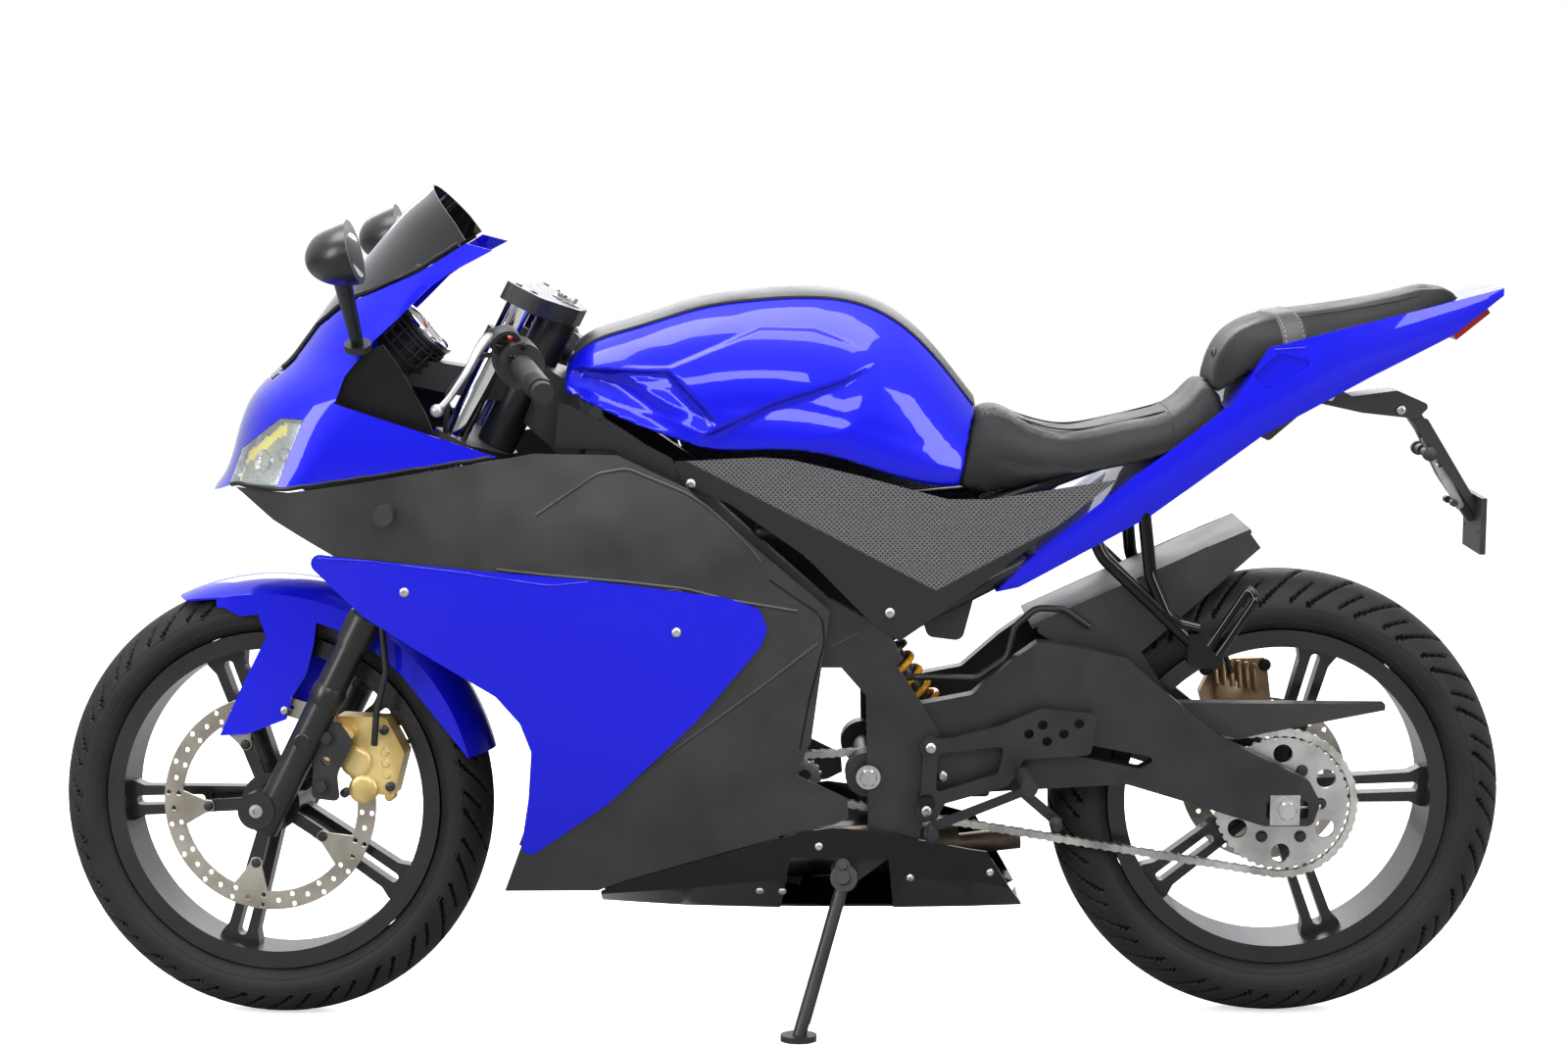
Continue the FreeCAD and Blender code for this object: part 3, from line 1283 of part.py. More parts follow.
def passenger_hanger(side):
    """Two bent tubes from the seat rail to a folded passenger peg."""
    first = [grid_point(x, z, y) for x, z, y in passenger_front_shares]
    second = [grid_point(x, z, y) for x, z, y in passenger_rear_shares]
    folded = [grid_point(x, z, y) for x, z, y in passenger_peg_shares]
    block = side_plate(passenger_block_shares, passenger_block_inner_y, passenger_block_outer_y, flange_wall)
    solid = fuse_all([bent_rod(first, passenger_tube_radius, 5 * passenger_tube_radius),
                      bent_rod(second, passenger_tube_radius, 5 * passenger_tube_radius), block,
                      bent_rod(folded, 0.5 * peg_radius, peg_radius)])
    return solid if side > 0 else mirrored(solid)


plate_arm_shares = [(-20, 872), (40, 800), (20, 790), (-40, 842), (-104, 828), (-178, 820), (-196, 838),
                    (-150, 858), (-90, 850), (-50, 872)]
plate_stem_shares = [(-178, 838), (-262, 706), (-262, 690), (-166, 826)]
plate_foot_shares = [(-262, 716), (-262, 640), (-270, 640), (-270, 716)]
plate_arm_half_width = 26.0
plate_stem_half_width = 16.0
plate_foot_half_width = 50.0
plate_hole_radius = 2.6
plate_hole_y = 38.0
plate_hole_z_share = 668
plate_foot_x_shares = (-270, -262)


def plate_bracket():
    """Arm behind the tail, down to the upright foot that a number plate is screwed to."""
    arm = side_plate(plate_arm_shares, -plate_arm_half_width, plate_arm_half_width, flange_wall)
    stem_part = side_plate(plate_stem_shares, -plate_stem_half_width, plate_stem_half_width)
    foot = side_plate(plate_foot_shares, -plate_foot_half_width, plate_foot_half_width)
    solid = fuse_all([arm, stem_part, foot])
    for y in (-plate_hole_y, plate_hole_y):
        start = grid_point(plate_foot_x_shares[0], plate_hole_z_share, y) - V(overrun, 0, 0)
        solid = solid.cut(rod(start, start + V(2 * overrun, 0, 0), plate_hole_radius))
    return solid


tail_lamp_shares = [(-214, 942), (-262, 974), (-270, 962), (-226, 926)]
tail_lamp_half_width = 30.0


def tail_lamp():
    return side_plate(tail_lamp_shares, -tail_lamp_half_width, tail_lamp_half_width)


front_indicator_y = 182.0
front_indicator_length = 34.0
front_indicator_shares = (1182, 713)


def indicator_stub(y, outward):
    base = grid_point(*front_indicator_shares, y)
    return rod(base, base + outward, 1.6 * stalk_radius)


under_box_shares = [(486, 612), (478, 530), (430, 524), (400, 640), (420, 690), (470, 690)]
under_box_half_width = 58.0


def under_box():
    return side_plate(under_box_shares, -under_box_half_width, under_box_half_width, 2 * flange_wall)


# Side stand
stand_pivot_shares = (588, 218)
stand_pivot_y = 133.0
stand_foot_x_share = 649
stand_foot_y = 190.0
stand_leg_radius = 9.0
stand_foot_radius = 24.0
stand_foot_wall = 8.0
stand_pin_radius = 5.4
stand_lug_shares = [(602, 204), (572, 206), (512, 252), (512, 282), (556, 276), (606, 226)]
stand_up_direction = V(-0.98, 0.16, -0.1)


def stand_pivot_point():
    return V(stand_pivot_shares[0] * grid, stand_pivot_y, stand_pivot_shares[1] * grid)


def side_stand():
    """Leg with an eye at its pivot and a flat foot on the ground, given as it stands on the leaned machine."""
    top = stand_pivot_point()
    lean = math.radians(lean_deg)
    sole = V(stand_foot_x_share * grid, stand_foot_y, stand_foot_y * math.tan(lean))
    leg = lean_over(rod(top, sole + (top - sole).normalize() * stand_foot_radius, stand_leg_radius))
    axis = stand_axis()
    eye = lean_over(Part.makeCylinder(2 * stand_leg_radius, 2 * stand_leg_radius, top - axis * stand_leg_radius, axis))
    foot_world = lean_over(Part.Vertex(sole)).Point
    plate = Part.makeCylinder(stand_foot_radius, stand_foot_wall, V(foot_world.x, foot_world.y, 0))
    neck = rod(V(foot_world.x, foot_world.y, stand_foot_wall / 2),
               leg.CenterOfMass, stand_leg_radius)
    solid = fuse_all([leg, eye, plate, neck])
    bolt = Part.makeCylinder(stand_pin_radius + running_gap, 4 * overrun, top - axis * (2 * overrun), axis)
    return solid.cut(lean_over(bolt))


def stand_axis():
    top = stand_pivot_point()
    lean = math.radians(lean_deg)
    sole = V(stand_foot_x_share * grid, stand_foot_y, stand_foot_y * math.tan(lean))
    down = (sole - top).normalize()
    return down.cross(V(stand_up_direction).normalize()).normalize()


def make_chassis():
    add_fixed("frame", [frame_solid, pivot_bolt()])
    add_fixed("engine", [engine()])
    add_fixed("swingarm", [swingarm()])
    add_fixed("rear_axle", [rear_axle_rod()])
    add_fixed("chain", [chain()])
    add_fixed("front_sprocket", [sprocket(front_sprocket, front_teeth, axle_radius, 0)])
    add_fixed("rear_caliper", [rear_caliper()])
    add_fixed("exhaust", [exhaust()])
    add_fixed("radiator", [radiator()])
    hugger_solid = hugger()
    add_fixed("rear_shock", [rear_shock()])
    add_fixed("hugger", [hugger_solid, chain_guard()])
    add_fixed("rear_hose", [hose(rear_hose_shares, hose_radius).cut(frame_solid).cut(hugger_solid)])
    add_fixed("footrests", footrest(1) + footrest(-1))
    add_fixed("passenger_hangers", hanger_solids)
    pieces["side_stand"] = [side_stand()]


def make_bodywork():
    wall = panel_wall
    middle = fairing_panel(middle_fairing_shares, -wall, wall, 0)
    blue = fairing_panel(side_panel_shares, running_gap, panel_lift, 2 * flange_wall)
    pillion_seat = smooth_body(pillion_stations_shares)
    rider_seat = smooth_body(seat_stations_shares).cut(frame_solid).cut(pillion_seat)
    tank = smooth_body(tank_stations_shares).cut(frame_solid).cut(rider_seat)
    strip = tank_strip(smooth_body(tank_stations_shares)).cut(frame_solid).cut(rider_seat)
    cockpit_trim = inner_trim().cut(middle).cut(windscreen())
    bracket = plate_bracket().cut(frame_solid)
    lamp = tail_lamp()
    tail_solid = tail()
    for other in [frame_solid, rider_seat, pillion_seat, bracket, lamp] + hanger_solids:
        tail_solid = tail_solid.cut(other)
    stub = indicator_stub(front_indicator_y, V(0, front_indicator_length, 0)).cut(middle)
    add_fixed("tank", [tank])
    add_fixed("tank_strip", [strip])
    add_fixed("rider_seat", [rider_seat])
    add_fixed("pillion_seat", [pillion_seat])
    add_fixed("tail_fairing", [tail_solid])
    add_fixed("middle_fairings", [middle, mirrored(middle)])
    add_fixed("side_panels", [blue, mirrored(blue)])
    add_fixed("upper_fairing", [upper_fairing()])
    add_fixed("headlights", [headlight(), mirrored(headlight())])
    add_fixed("windscreen", [windscreen()])
    add_fixed("cockpit_trims", [cockpit_trim, mirrored(cockpit_trim)])
    add_fixed("belly_pan", [belly_pan()])
    add_fixed("side_covers", [side_cover(), mirrored(side_cover()), front_trim(), mirrored(front_trim())])
    add_fixed("instruments", [instruments().cut(frame_solid)])
    add_fixed("mirrors", [mirror(1), mirror(-1)])
    add_fixed("plate_bracket", [bracket])
    add_fixed("tail_lamp", [lamp])
    add_fixed("under_box", [under_box()])
    add_fixed("indicators", [stub, mirrored(stub)])


def write_pieces():
    os.makedirs("parts", exist_ok=True)
    everything = Part.makeCompound([solid for solids in pieces.values() for solid in solids])
    bounds = everything.optimalBoundingBox(True, False)
    shift = V(-(bounds.XMin + bounds.XMax) / 2, -(bounds.YMin + bounds.YMax) / 2, 0)
    for name, solids in pieces.items():
        for solid in solids:
            solid.translate(shift)
        shape = solids[0] if len(solids) == 1 else Part.makeCompound(solids)
        shape.exportStep("parts/" + name + ".step")
        print(name, len(shape.Solids), shape.isValid(), round(shape.Volume), shape.optimalBoundingBox(True, False))
    print("bounds", bounds, "shift", shift)


frame_solid = frame()
hanger_solids = [passenger_hanger(1), passenger_hanger(-1)]
make_wheels()
make_steering()
make_chassis()
make_bodywork()
write_pieces()
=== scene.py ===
# %% [markdown]
# A faired sport motorcycle leans on its side stand. The CAD model already holds every rigid piece at its real
# size, and it arrives here as the frame: one mesh for each node, in the body that it moves with. This script
# dresses those meshes with materials, and adds what is too fine for the CAD model, such as tread, bolts, chain
# links and seams. Each added piece is told which body it rides on, so it moves with the joints.

# %% Modules and frame
import json
import math

import bmesh
import bpy
import numpy as np
from mathutils import Matrix, Vector
from mathutils.bvhtree import BVHTree


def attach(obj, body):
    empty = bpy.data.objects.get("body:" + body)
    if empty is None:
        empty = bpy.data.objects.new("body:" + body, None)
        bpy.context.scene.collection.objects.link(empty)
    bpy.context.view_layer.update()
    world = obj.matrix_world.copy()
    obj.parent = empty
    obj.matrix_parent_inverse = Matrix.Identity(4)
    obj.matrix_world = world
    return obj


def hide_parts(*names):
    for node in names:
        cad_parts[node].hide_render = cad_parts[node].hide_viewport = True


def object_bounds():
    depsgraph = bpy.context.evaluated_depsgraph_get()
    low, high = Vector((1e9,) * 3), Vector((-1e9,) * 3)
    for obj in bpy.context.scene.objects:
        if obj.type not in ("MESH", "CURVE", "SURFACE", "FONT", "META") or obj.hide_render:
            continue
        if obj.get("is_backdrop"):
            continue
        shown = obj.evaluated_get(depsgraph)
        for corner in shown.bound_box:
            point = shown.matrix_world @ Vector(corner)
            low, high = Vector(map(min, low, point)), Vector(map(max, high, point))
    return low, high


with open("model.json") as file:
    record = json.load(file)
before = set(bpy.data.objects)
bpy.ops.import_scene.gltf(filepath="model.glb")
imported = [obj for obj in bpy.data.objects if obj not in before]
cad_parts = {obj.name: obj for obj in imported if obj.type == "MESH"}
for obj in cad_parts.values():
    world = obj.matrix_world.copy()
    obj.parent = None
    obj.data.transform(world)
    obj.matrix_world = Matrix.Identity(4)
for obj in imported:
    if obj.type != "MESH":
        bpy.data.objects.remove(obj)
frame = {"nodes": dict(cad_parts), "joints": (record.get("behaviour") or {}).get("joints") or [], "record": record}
nodes = frame["nodes"]
cad_low, cad_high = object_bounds()
print("nodes:", len(nodes), "box:", [round(b - a, 3) for a, b in zip(cad_low, cad_high)])

# %% [markdown]
# A leaning bike with turned bars is hard to draw on. So everything is drawn on an upright bike with straight
# bars, with X forward from the rear axle, Y to the rider's left and Z up, in millimetres, and then moved by the
# same two turns as the real one: the bars turn about the steering stem, and the whole bike leans about its
# tyres. The front axle's height isn't written down but worked out, because a turned and leaned tyre touches the
# floor away from its middle.

# %% Leaning bike frame
MM = 0.001
WHEELBASE = 1355.0
LEAN = math.radians(4.1)
TURN = math.radians(7.7)
RAKE = math.radians(26.5)
AXLE_OFFSET = 52.0
AXLE_LEAD = 14.0
FRONT_RADIUS, FRONT_CROWN = 296.0, 56.0
REAR_RADIUS, REAR_CROWN = 307.0, 72.0


def front_axle_height():
    """Height at which the turned and leaned front tyre just touches the floor."""
    turn = -TURN
    tilt = -math.cos(turn) * math.sin(LEAN) - math.sin(RAKE) * math.sin(turn) * math.cos(LEAN)
    reach = (FRONT_RADIUS - FRONT_CROWN) * math.sqrt(1 - tilt * tilt) + FRONT_CROWN
    side = AXLE_OFFSET * math.sin(turn) * math.sin(LEAN)
    drop = AXLE_OFFSET * math.sin(RAKE) * (math.cos(turn) - 1) * math.cos(LEAN)
    return (reach + side - drop) / math.cos(LEAN)


REAR_AXLE = Vector((0, 0, (REAR_RADIUS - REAR_CROWN) + REAR_CROWN / math.cos(LEAN)))
FRONT_AXLE = Vector((WHEELBASE, 0, front_axle_height()))
STEER_UP = Vector((-math.sin(RAKE), 0, math.cos(RAKE)))
STEER_FORWARD = Vector((math.cos(RAKE), 0, math.sin(RAKE)))
STEER_BASE = FRONT_AXLE - STEER_FORWARD * AXLE_OFFSET
FORK_BASE = FRONT_AXLE - STEER_FORWARD * AXLE_LEAD

lean = Matrix.Rotation(-LEAN, 4, "X")
rear_joint = next(j for j in frame["joints"] if j["name"] == "rear_wheel_spin")
SHIFT = Vector(rear_joint["pos_m"]) - lean @ (REAR_AXLE * MM)
FIXED = Matrix.Translation(SHIFT) @ lean
about_bars = (Matrix.Translation(STEER_BASE * MM) @ Matrix.Rotation(-TURN, 4, STEER_UP)
              @ Matrix.Translation(-STEER_BASE * MM))
STEERED = FIXED @ about_bars
print("front axle height:", round(FRONT_AXLE.z, 1), "mm, rear:", round(REAR_AXLE.z, 1), "mm")
PLACES = {"root": FIXED, "rear_wheel": FIXED, "side_stand": FIXED, "steering": STEERED, "front_wheel": STEERED}


def fork_point(height, y=0.0):
    """Point on the fork's centre plane at a height, moved sideways by y."""
    p = FORK_BASE + STEER_UP * ((height - FORK_BASE.z) / STEER_UP.z)
    return Vector((p.x, y, p.z))


# %% [markdown]
# A product picture is taken from far away with a long lens, so that near and far wheels look alike in size. The
# angles, focal length and place below were solved from the outlines of the two tyres and the brake disc, and
# the camera is built from its own three directions instead of from turned angles, so that no axis can be mixed
# up.

# %% Camera
PITCH, YAW, ROLL = math.radians(4.004), math.radians(-0.650), math.radians(0.114)
FOCAL_PX, WIDTH_PX, SENSOR_MM = 3086.36, 1600.0, 36.0
CAMERA_AT = Vector((0.71402, 4.11784, 0.95789))
forward = Vector((math.sin(YAW), -math.cos(YAW), 0))
right = Vector((-math.cos(YAW), -math.sin(YAW), 0))
forward = forward * math.cos(PITCH) + Vector((0, 0, -math.sin(PITCH)))
up = right.cross(forward)
cam_right = right * math.cos(ROLL) + up * math.sin(ROLL)
cam_up = -right * math.sin(ROLL) + up * math.cos(ROLL)
cam_data = bpy.data.cameras.new("camera")
cam_data.lens = FOCAL_PX / WIDTH_PX * SENSOR_MM
cam_data.sensor_width = SENSOR_MM
camera = bpy.data.objects.new("camera", cam_data)
bpy.context.scene.collection.objects.link(camera)
turn_matrix = Matrix((cam_right, cam_up, -forward)).transposed().to_4x4()
camera.matrix_world = Matrix.Translation(CAMERA_AT + SHIFT) @ turn_matrix
cam_data.clip_end = 50
bpy.context.scene.camera = camera
bpy.context.scene.view_settings.view_transform = "Standard"
print("lens:", round(cam_data.lens, 1), "mm")

# %% [markdown]
# Colours are easiest to read as sRGB hex codes, and Blender calculates with linear light, so one function turns
# the first into the second. A second function adds a shader node with its settings and links in one line. It is
# used for the world, the lamps and all the materials.

# %% Colour and node helpers
def linear(code):
    """Linear colour of an sRGB hex code."""
    values = []
    for i in (0, 2, 4):
        c = int(code[i:i + 2], 16) / 255
        values.append(c / 12.92 if c <= 0.04045 else ((c + 0.055) / 1.055) ** 2.4)
    return (*values, 1.0)


def add(tree, kind, inputs=None, **settings):
    """New shader node. Inputs are values or sockets, by name or number."""
    node = tree.nodes.new(kind)
    for key, value in settings.items():
        setattr(node, key, value)
    for key, value in (inputs or {}).items():
        if isinstance(value, bpy.types.NodeSocket):
            tree.links.new(value, node.inputs[key])
        else:
            node.inputs[key].default_value = value
    return node


# %% [markdown]
# Shiny panels show the shape of the lamps in them. Studio softboxes are wide and soft, so five area lamps stand
# in for them: one above, three on the near side at different heights, which draw long highlights along the
# fairing and the tank, and one behind that lights the far side. The world gives a plain pale fill, brighter
# above, and shows pure white only to the camera, so the background stays white without adding light to the
# paint.

# %% Softboxes and world
def area_light(name, place, target, size, power):
    """Rectangular softbox at a place, aimed at a target, in metres and watts."""
    data = bpy.data.lights.new(name, "AREA")
    data.shape = "RECTANGLE"
    data.size, data.size_y = size
    data.energy = power
    lamp = bpy.data.objects.new(name, data)
    bpy.context.scene.collection.objects.link(lamp)
    lamp.location = place
    lamp.rotation_euler = (Vector(target) - Vector(place)).to_track_quat("-Z", "Y").to_euler()


area_light("softbox_top", (0.2, 0.6, 3.2), (0.0, 0.0, 0.4), (4.2, 1.4), 150)
area_light("softbox_front_left", (3.0, 2.2, 1.6), (0.3, 0.0, 0.5), (0.9, 1.9), 66)
area_light("softbox_rear_left", (-3.0, 2.6, 1.5), (-0.3, 0.0, 0.45), (0.9, 1.9), 52)
area_light("softbox_left", (0.4, 4.6, 2.4), (0.0, 0.0, 0.5), (3.0, 0.7), 62)
area_light("softbox_back", (0.0, -3.0, 2.4), (0.0, 0.0, 0.4), (3.8, 1.2), 90)

world = bpy.data.worlds.new("studio")
world.use_nodes = True
tree = world.node_tree
tree.nodes.clear()
coord = add(tree, "ShaderNodeTexCoord")
split = add(tree, "ShaderNodeSeparateXYZ", {0: coord.outputs["Generated"]})
tall = add(tree, "ShaderNodeMapRange", {0: split.outputs["Z"], 1: 0.02, 2: 0.85, 3: 0.3, 4: 1.15}, clamp=True)
side = add(tree, "ShaderNodeMapRange", {0: split.outputs["Y"], 1: -1.0, 2: 0.4, 3: 0.6, 4: 0.0}, clamp=True)
both = add(tree, "ShaderNodeMath", {0: tall.outputs[0], 1: side.outputs[0]}, operation="ADD")
lit = add(tree, "ShaderNodeBackground", {"Color": linear("F4F6FA"), "Strength": both.outputs[0]})
white = add(tree, "ShaderNodeBackground", {"Color": (1, 1, 1, 1), "Strength": 1.0})
path = add(tree, "ShaderNodeLightPath")
mix = add(tree, "ShaderNodeMixShader", {0: path.outputs["Is Camera Ray"], 1: lit.outputs[0], 2: white.outputs[0]})
add(tree, "ShaderNodeOutputWorld", {0: mix.outputs[0]})
bpy.context.scene.world = world

# %% [markdown]
# No real surface has one flat colour. Even new paint varies a little in shade and gloss, and moulded plastic
# has a grain that can be felt. An image texture could give that, but it needs unwrapped faces. Here it comes
# from procedural noise in object coordinates, whose size is given in millimetres, so it stays true on every
# piece.

# %% Material helpers
def start_material(name):
    """Empty material with a Principled shader. Gives it, its tree, the shader and the object coordinates."""
    mat = bpy.data.materials.new(name)
    mat.use_nodes = True
    tree = mat.node_tree
    tree.nodes.clear()
    shader = add(tree, "ShaderNodeBsdfPrincipled")
    add(tree, "ShaderNodeOutputMaterial", {0: shader.outputs[0]})
    coord = add(tree, "ShaderNodeTexCoord")
    return mat, tree, shader, coord.outputs["Object"]


def noise(tree, coord, size_mm, detail=4.0, stretch=(1, 1, 1)):
    """Noise whose blotches are about size_mm across."""
    scale = [s / (size_mm * MM) for s in stretch]
    mapping = add(tree, "ShaderNodeMapping", {"Vector": coord, "Scale": scale})
    made = add(tree, "ShaderNodeTexNoise", {"Vector": mapping.outputs[0], "Scale": 1.0, "Detail": detail})
    return made.outputs["Fac"]


def between(tree, value, low, high, a, b):
    """Value that goes from a to b while the given one goes from low to high."""
    made = add(tree, "ShaderNodeMapRange", {0: value, 1: low, 2: high, 3: a, 4: b}, clamp=True)
    return made.outputs[0]


def colour_mix(tree, value, a, b):
    """Colour between a and b."""
    made = add(tree, "ShaderNodeMix", {0: value, 6: a, 7: b}, data_type="RGBA")
    return made.outputs[2]


def bump(tree, shader, height, depth_mm):
    """Relief of a real depth on the shader's surface."""
    made = add(tree, "ShaderNodeBump", {"Height": height, "Distance": depth_mm * MM, "Strength": 1.0})
    tree.links.new(made.outputs[0], shader.inputs["Normal"])


# %% [markdown]
# Most surfaces of the bike share one recipe. Broad noise, 60 mm across, moves the colour between two near
# shades. Fine noise at the real grain size gives the relief, and both together move the roughness within its
# range. The coat is for lacquer over colour, as on a panel, and for polished plastic.

# %% The common finish
def finish_of(name, dark, light, rough, metal=0.0, coat=0.0, grain_mm=1.0, depth_mm=0.02, stretch=(1, 1, 1),
              specular=0.5, coat_ior=1.5):
    """A surface whose colour wanders between two hex codes, with wear in its roughness and a fine grain."""
    mat, tree, shader, coord = start_material(name)
    broad = noise(tree, coord, 60.0, 3.0)
    fine = noise(tree, coord, grain_mm, 5.0, stretch)
    blend_of = between(tree, broad, 0.35, 0.65, 0.0, 1.0)
    tree.links.new(colour_mix(tree, blend_of, linear(dark), linear(light)), shader.inputs["Base Color"])
    spread = add(tree, "ShaderNodeMath", {0: fine, 1: broad}, operation="MULTIPLY")
    tree.links.new(between(tree, spread.outputs[0], 0.1, 0.45, rough[0], rough[1]), shader.inputs["Roughness"])
    shader.inputs["Metallic"].default_value = metal
    shader.inputs["Coat Weight"].default_value = coat
    shader.inputs["Coat Roughness"].default_value = 0.05
    shader.inputs["Coat IOR"].default_value = coat_ior
    shader.inputs["Specular IOR Level"].default_value = specular
    bump(tree, shader, fine, depth_mm)
    return mat


# %% [markdown]
# The tank and the fairings are sprayed: a blue base with metal flakes, then clear lacquer. To the eye that
# gives a deep colour that darkens towards the edges, and sharp lamp reflections on top. The flakes are half a
# millimetre Voronoi cells, coarser than real ones so that they show, the darkening follows the viewing angle,
# and the lacquer is the shader's coat with a faint orange peel 9 mm across.

# %% Blue lacquer
def paint_blue():
    """Candy blue over fine flakes, under clear lacquer."""
    mat, tree, shader, coord = start_material("blue_lacquer")
    mapping = add(tree, "ShaderNodeMapping", {"Vector": coord, "Scale": [1 / (0.5 * MM)] * 3})
    flakes = add(tree, "ShaderNodeTexVoronoi", {"Vector": mapping.outputs[0], "Scale": 1.0})
    tint = between(tree, flakes.outputs["Distance"], 0.0, 0.9, 0.0, 1.0)
    face = add(tree, "ShaderNodeLayerWeight", {"Blend": 0.35})
    base = colour_mix(tree, tint, linear("0508D6"), linear("0304BE"))
    deep = colour_mix(tree, face.outputs["Facing"], base, linear("020278"))
    tree.links.new(deep, shader.inputs["Base Color"])
    shader.inputs["Metallic"].default_value = 0.15
    shader.inputs["Roughness"].default_value = 0.4
    shader.inputs["Specular IOR Level"].default_value = 0.15
    shader.inputs["Coat Weight"].default_value = 1.0
    shader.inputs["Coat Roughness"].default_value = 0.03
    shader.inputs["Coat IOR"].default_value = 1.34
    peel = noise(tree, coord, 9.0, 2.0)
    bump(tree, shader, peel, 0.006)
    return mat


# %% [markdown]
# The side covers are ABS, moulded in a tool with rows of small dimples, which break up reflections and hide
# scratches. Modelling thousands of dimples would be slow, so they are worked out in the material: the place in
# the side view is divided into cells 6.4 mm wide, every second row is shifted by half a cell, and the distance
# from each cell's middle gives the dimple. Each dimple's hollow is painted nearly black, as painted shade, and
# the lighter grey between the dimples is painted sheen on the black plastic. Only the middle zone of the cover
# has them, so two slanted lines cut the zone out.

# %% Dimpled plastic
def dimpled_plastic():
    """Black plastic moulded with rows of small round dimples, with painted shade in them and painted sheen between
    them.
    """
    mat, tree, shader, coord = start_material("dimpled_plastic")

    def sum_of(kind, *values):
        return add(tree, "ShaderNodeMath", dict(enumerate(values)), operation=kind).outputs[0]

    split = add(tree, "ShaderNodeSeparateXYZ", {0: coord})
    pitch = 6.4 * MM
    row = sum_of("DIVIDE", split.outputs["Z"], pitch * 0.5)
    odd = sum_of("FLOORED_MODULO", sum_of("FLOOR", row), 2.0)
    along = sum_of("ADD", split.outputs["X"], sum_of("MULTIPLY", odd, pitch * 0.5))
    dx = sum_of("SUBTRACT", sum_of("FRACT", sum_of("DIVIDE", along, pitch)), 0.5)
    dz = sum_of("SUBTRACT", sum_of("FRACT", row), 0.5)
    both = add(tree, "ShaderNodeCombineXYZ", {0: dx, 1: sum_of("MULTIPLY", dz, 0.5)})
    far = add(tree, "ShaderNodeVectorMath", {0: both.outputs[0]}, operation="LENGTH")
    hole = between(tree, far.outputs["Value"], 0.10, 0.30, 0.0, 1.0)
    zone = None
    for slope, level in ((0.52, 0.6959), (-0.538, 0.4830)):
        line = sum_of("MULTIPLY_ADD", split.outputs["X"], slope, level)
        inside = between(tree, sum_of("SUBTRACT", split.outputs["Z"], line), 0.0, 3 * MM, 0.0, 1.0)
        zone = inside if zone is None else sum_of("MULTIPLY", zone, inside)
    # Painted shade: each dimple's hollow is near black. Painted sheen: the grey between the dimples.
    dimpled = colour_mix(tree, hole, linear("0A0A0B"), linear("545456"))
    tree.links.new(colour_mix(tree, zone, linear("121213"), dimpled), shader.inputs["Base Color"])
    shader.inputs["Roughness"].default_value = 0.4
    bump(tree, shader, sum_of("MULTIPLY", hole, zone), 0.8)
    return mat


# %% [markdown]
# Seat covers are vinyl, embossed like leather: flat pebbles with creases between them. The creases are the
# edges of Voronoi cells 1.6 mm across, painted a little darker as painted shade. The pebbles are a little
# shinier where the cover is rubbed, so broad noise moves both tone and roughness.

# %% Seat vinyl
def seat_skin():
    """Grained seat cover."""
    mat, tree, shader, coord = start_material("seat_vinyl")
    mapping = add(tree, "ShaderNodeMapping", {"Vector": coord, "Scale": [1 / (1.6 * MM)] * 3})
    cells = add(tree, "ShaderNodeTexVoronoi", {"Vector": mapping.outputs[0], "Scale": 1.0}, feature="DISTANCE_TO_EDGE")
    grain = between(tree, cells.outputs["Distance"], 0.0, 0.25, 0.0, 1.0)
    broad = noise(tree, coord, 90.0, 3.0)
    mixed = colour_mix(tree, broad, linear("0F0F11"), linear("171719"))
    # The creases get a darker colour than the pebbles: painted shade
    tree.links.new(colour_mix(tree, grain, linear("0D0D0E"), mixed), shader.inputs["Base Color"])
    shader.inputs["Specular IOR Level"].default_value = 0.2
    tree.links.new(between(tree, broad, 0.3, 0.7, 0.42, 0.6), shader.inputs["Roughness"])
    bump(tree, shader, grain, 0.12)
    return mat


# %% [markdown]
# The lamp lenses and the smoked screen are thin sheets of polycarbonate and acrylic. Light passes through such
# a sheet almost straight, so real refraction would only add noise. A transparent shader is mixed with a glossy
# one by viewing angle instead: clear when seen straight on, and a mirror at the edges.

# %% Clear plastics
def clear_plastic(name, code, amount, rough=0.02):
    """Thin clear plastic: a gloss coat over a part of the light that passes straight through."""
    mat, tree, shader, coord = start_material(name)
    haze = noise(tree, coord, 40.0, 3.0)
    shader.inputs["Base Color"].default_value = linear(code)
    tree.links.new(between(tree, haze, 0.2, 0.8, rough, rough + 0.03), shader.inputs["Roughness"])
    shader.inputs["Coat Weight"].default_value = 1.0
    clear = add(tree, "ShaderNodeBsdfTransparent", {"Color": linear(code)})
    face = add(tree, "ShaderNodeLayerWeight", {"Blend": 0.25})
    share = between(tree, face.outputs["Fresnel"], 0.0, 1.0, amount, 1.0)
    mixed = add(tree, "ShaderNodeMixShader", {0: share, 1: clear.outputs[0], 2: shader.outputs[0]})
    out = next(n for n in tree.nodes if n.type == "OUTPUT_MATERIAL")
    tree.links.new(mixed.outputs[0], out.inputs[0])
    return mat


# %% [markdown]
# Paints first. A sprayed surface is as smooth as the wet film that dried on it, so paints differ mainly in
# roughness: low for lacquer, higher for satin and powder coat. The two hex codes of each finish are close
# together, because the eye reads even paint as one colour.

# %% Paints and enamels
# Sprayed lacquer: deep, with sharp reflections
BLUE = paint_blue()
# Sprayed satin enamel on the middle fairing: even dark grey with soft, wide highlights
SATIN_BLACK = finish_of("satin_black_paint", "232322", "2B2B2A", (0.30, 0.42), grain_mm=0.6, depth_mm=0.01)
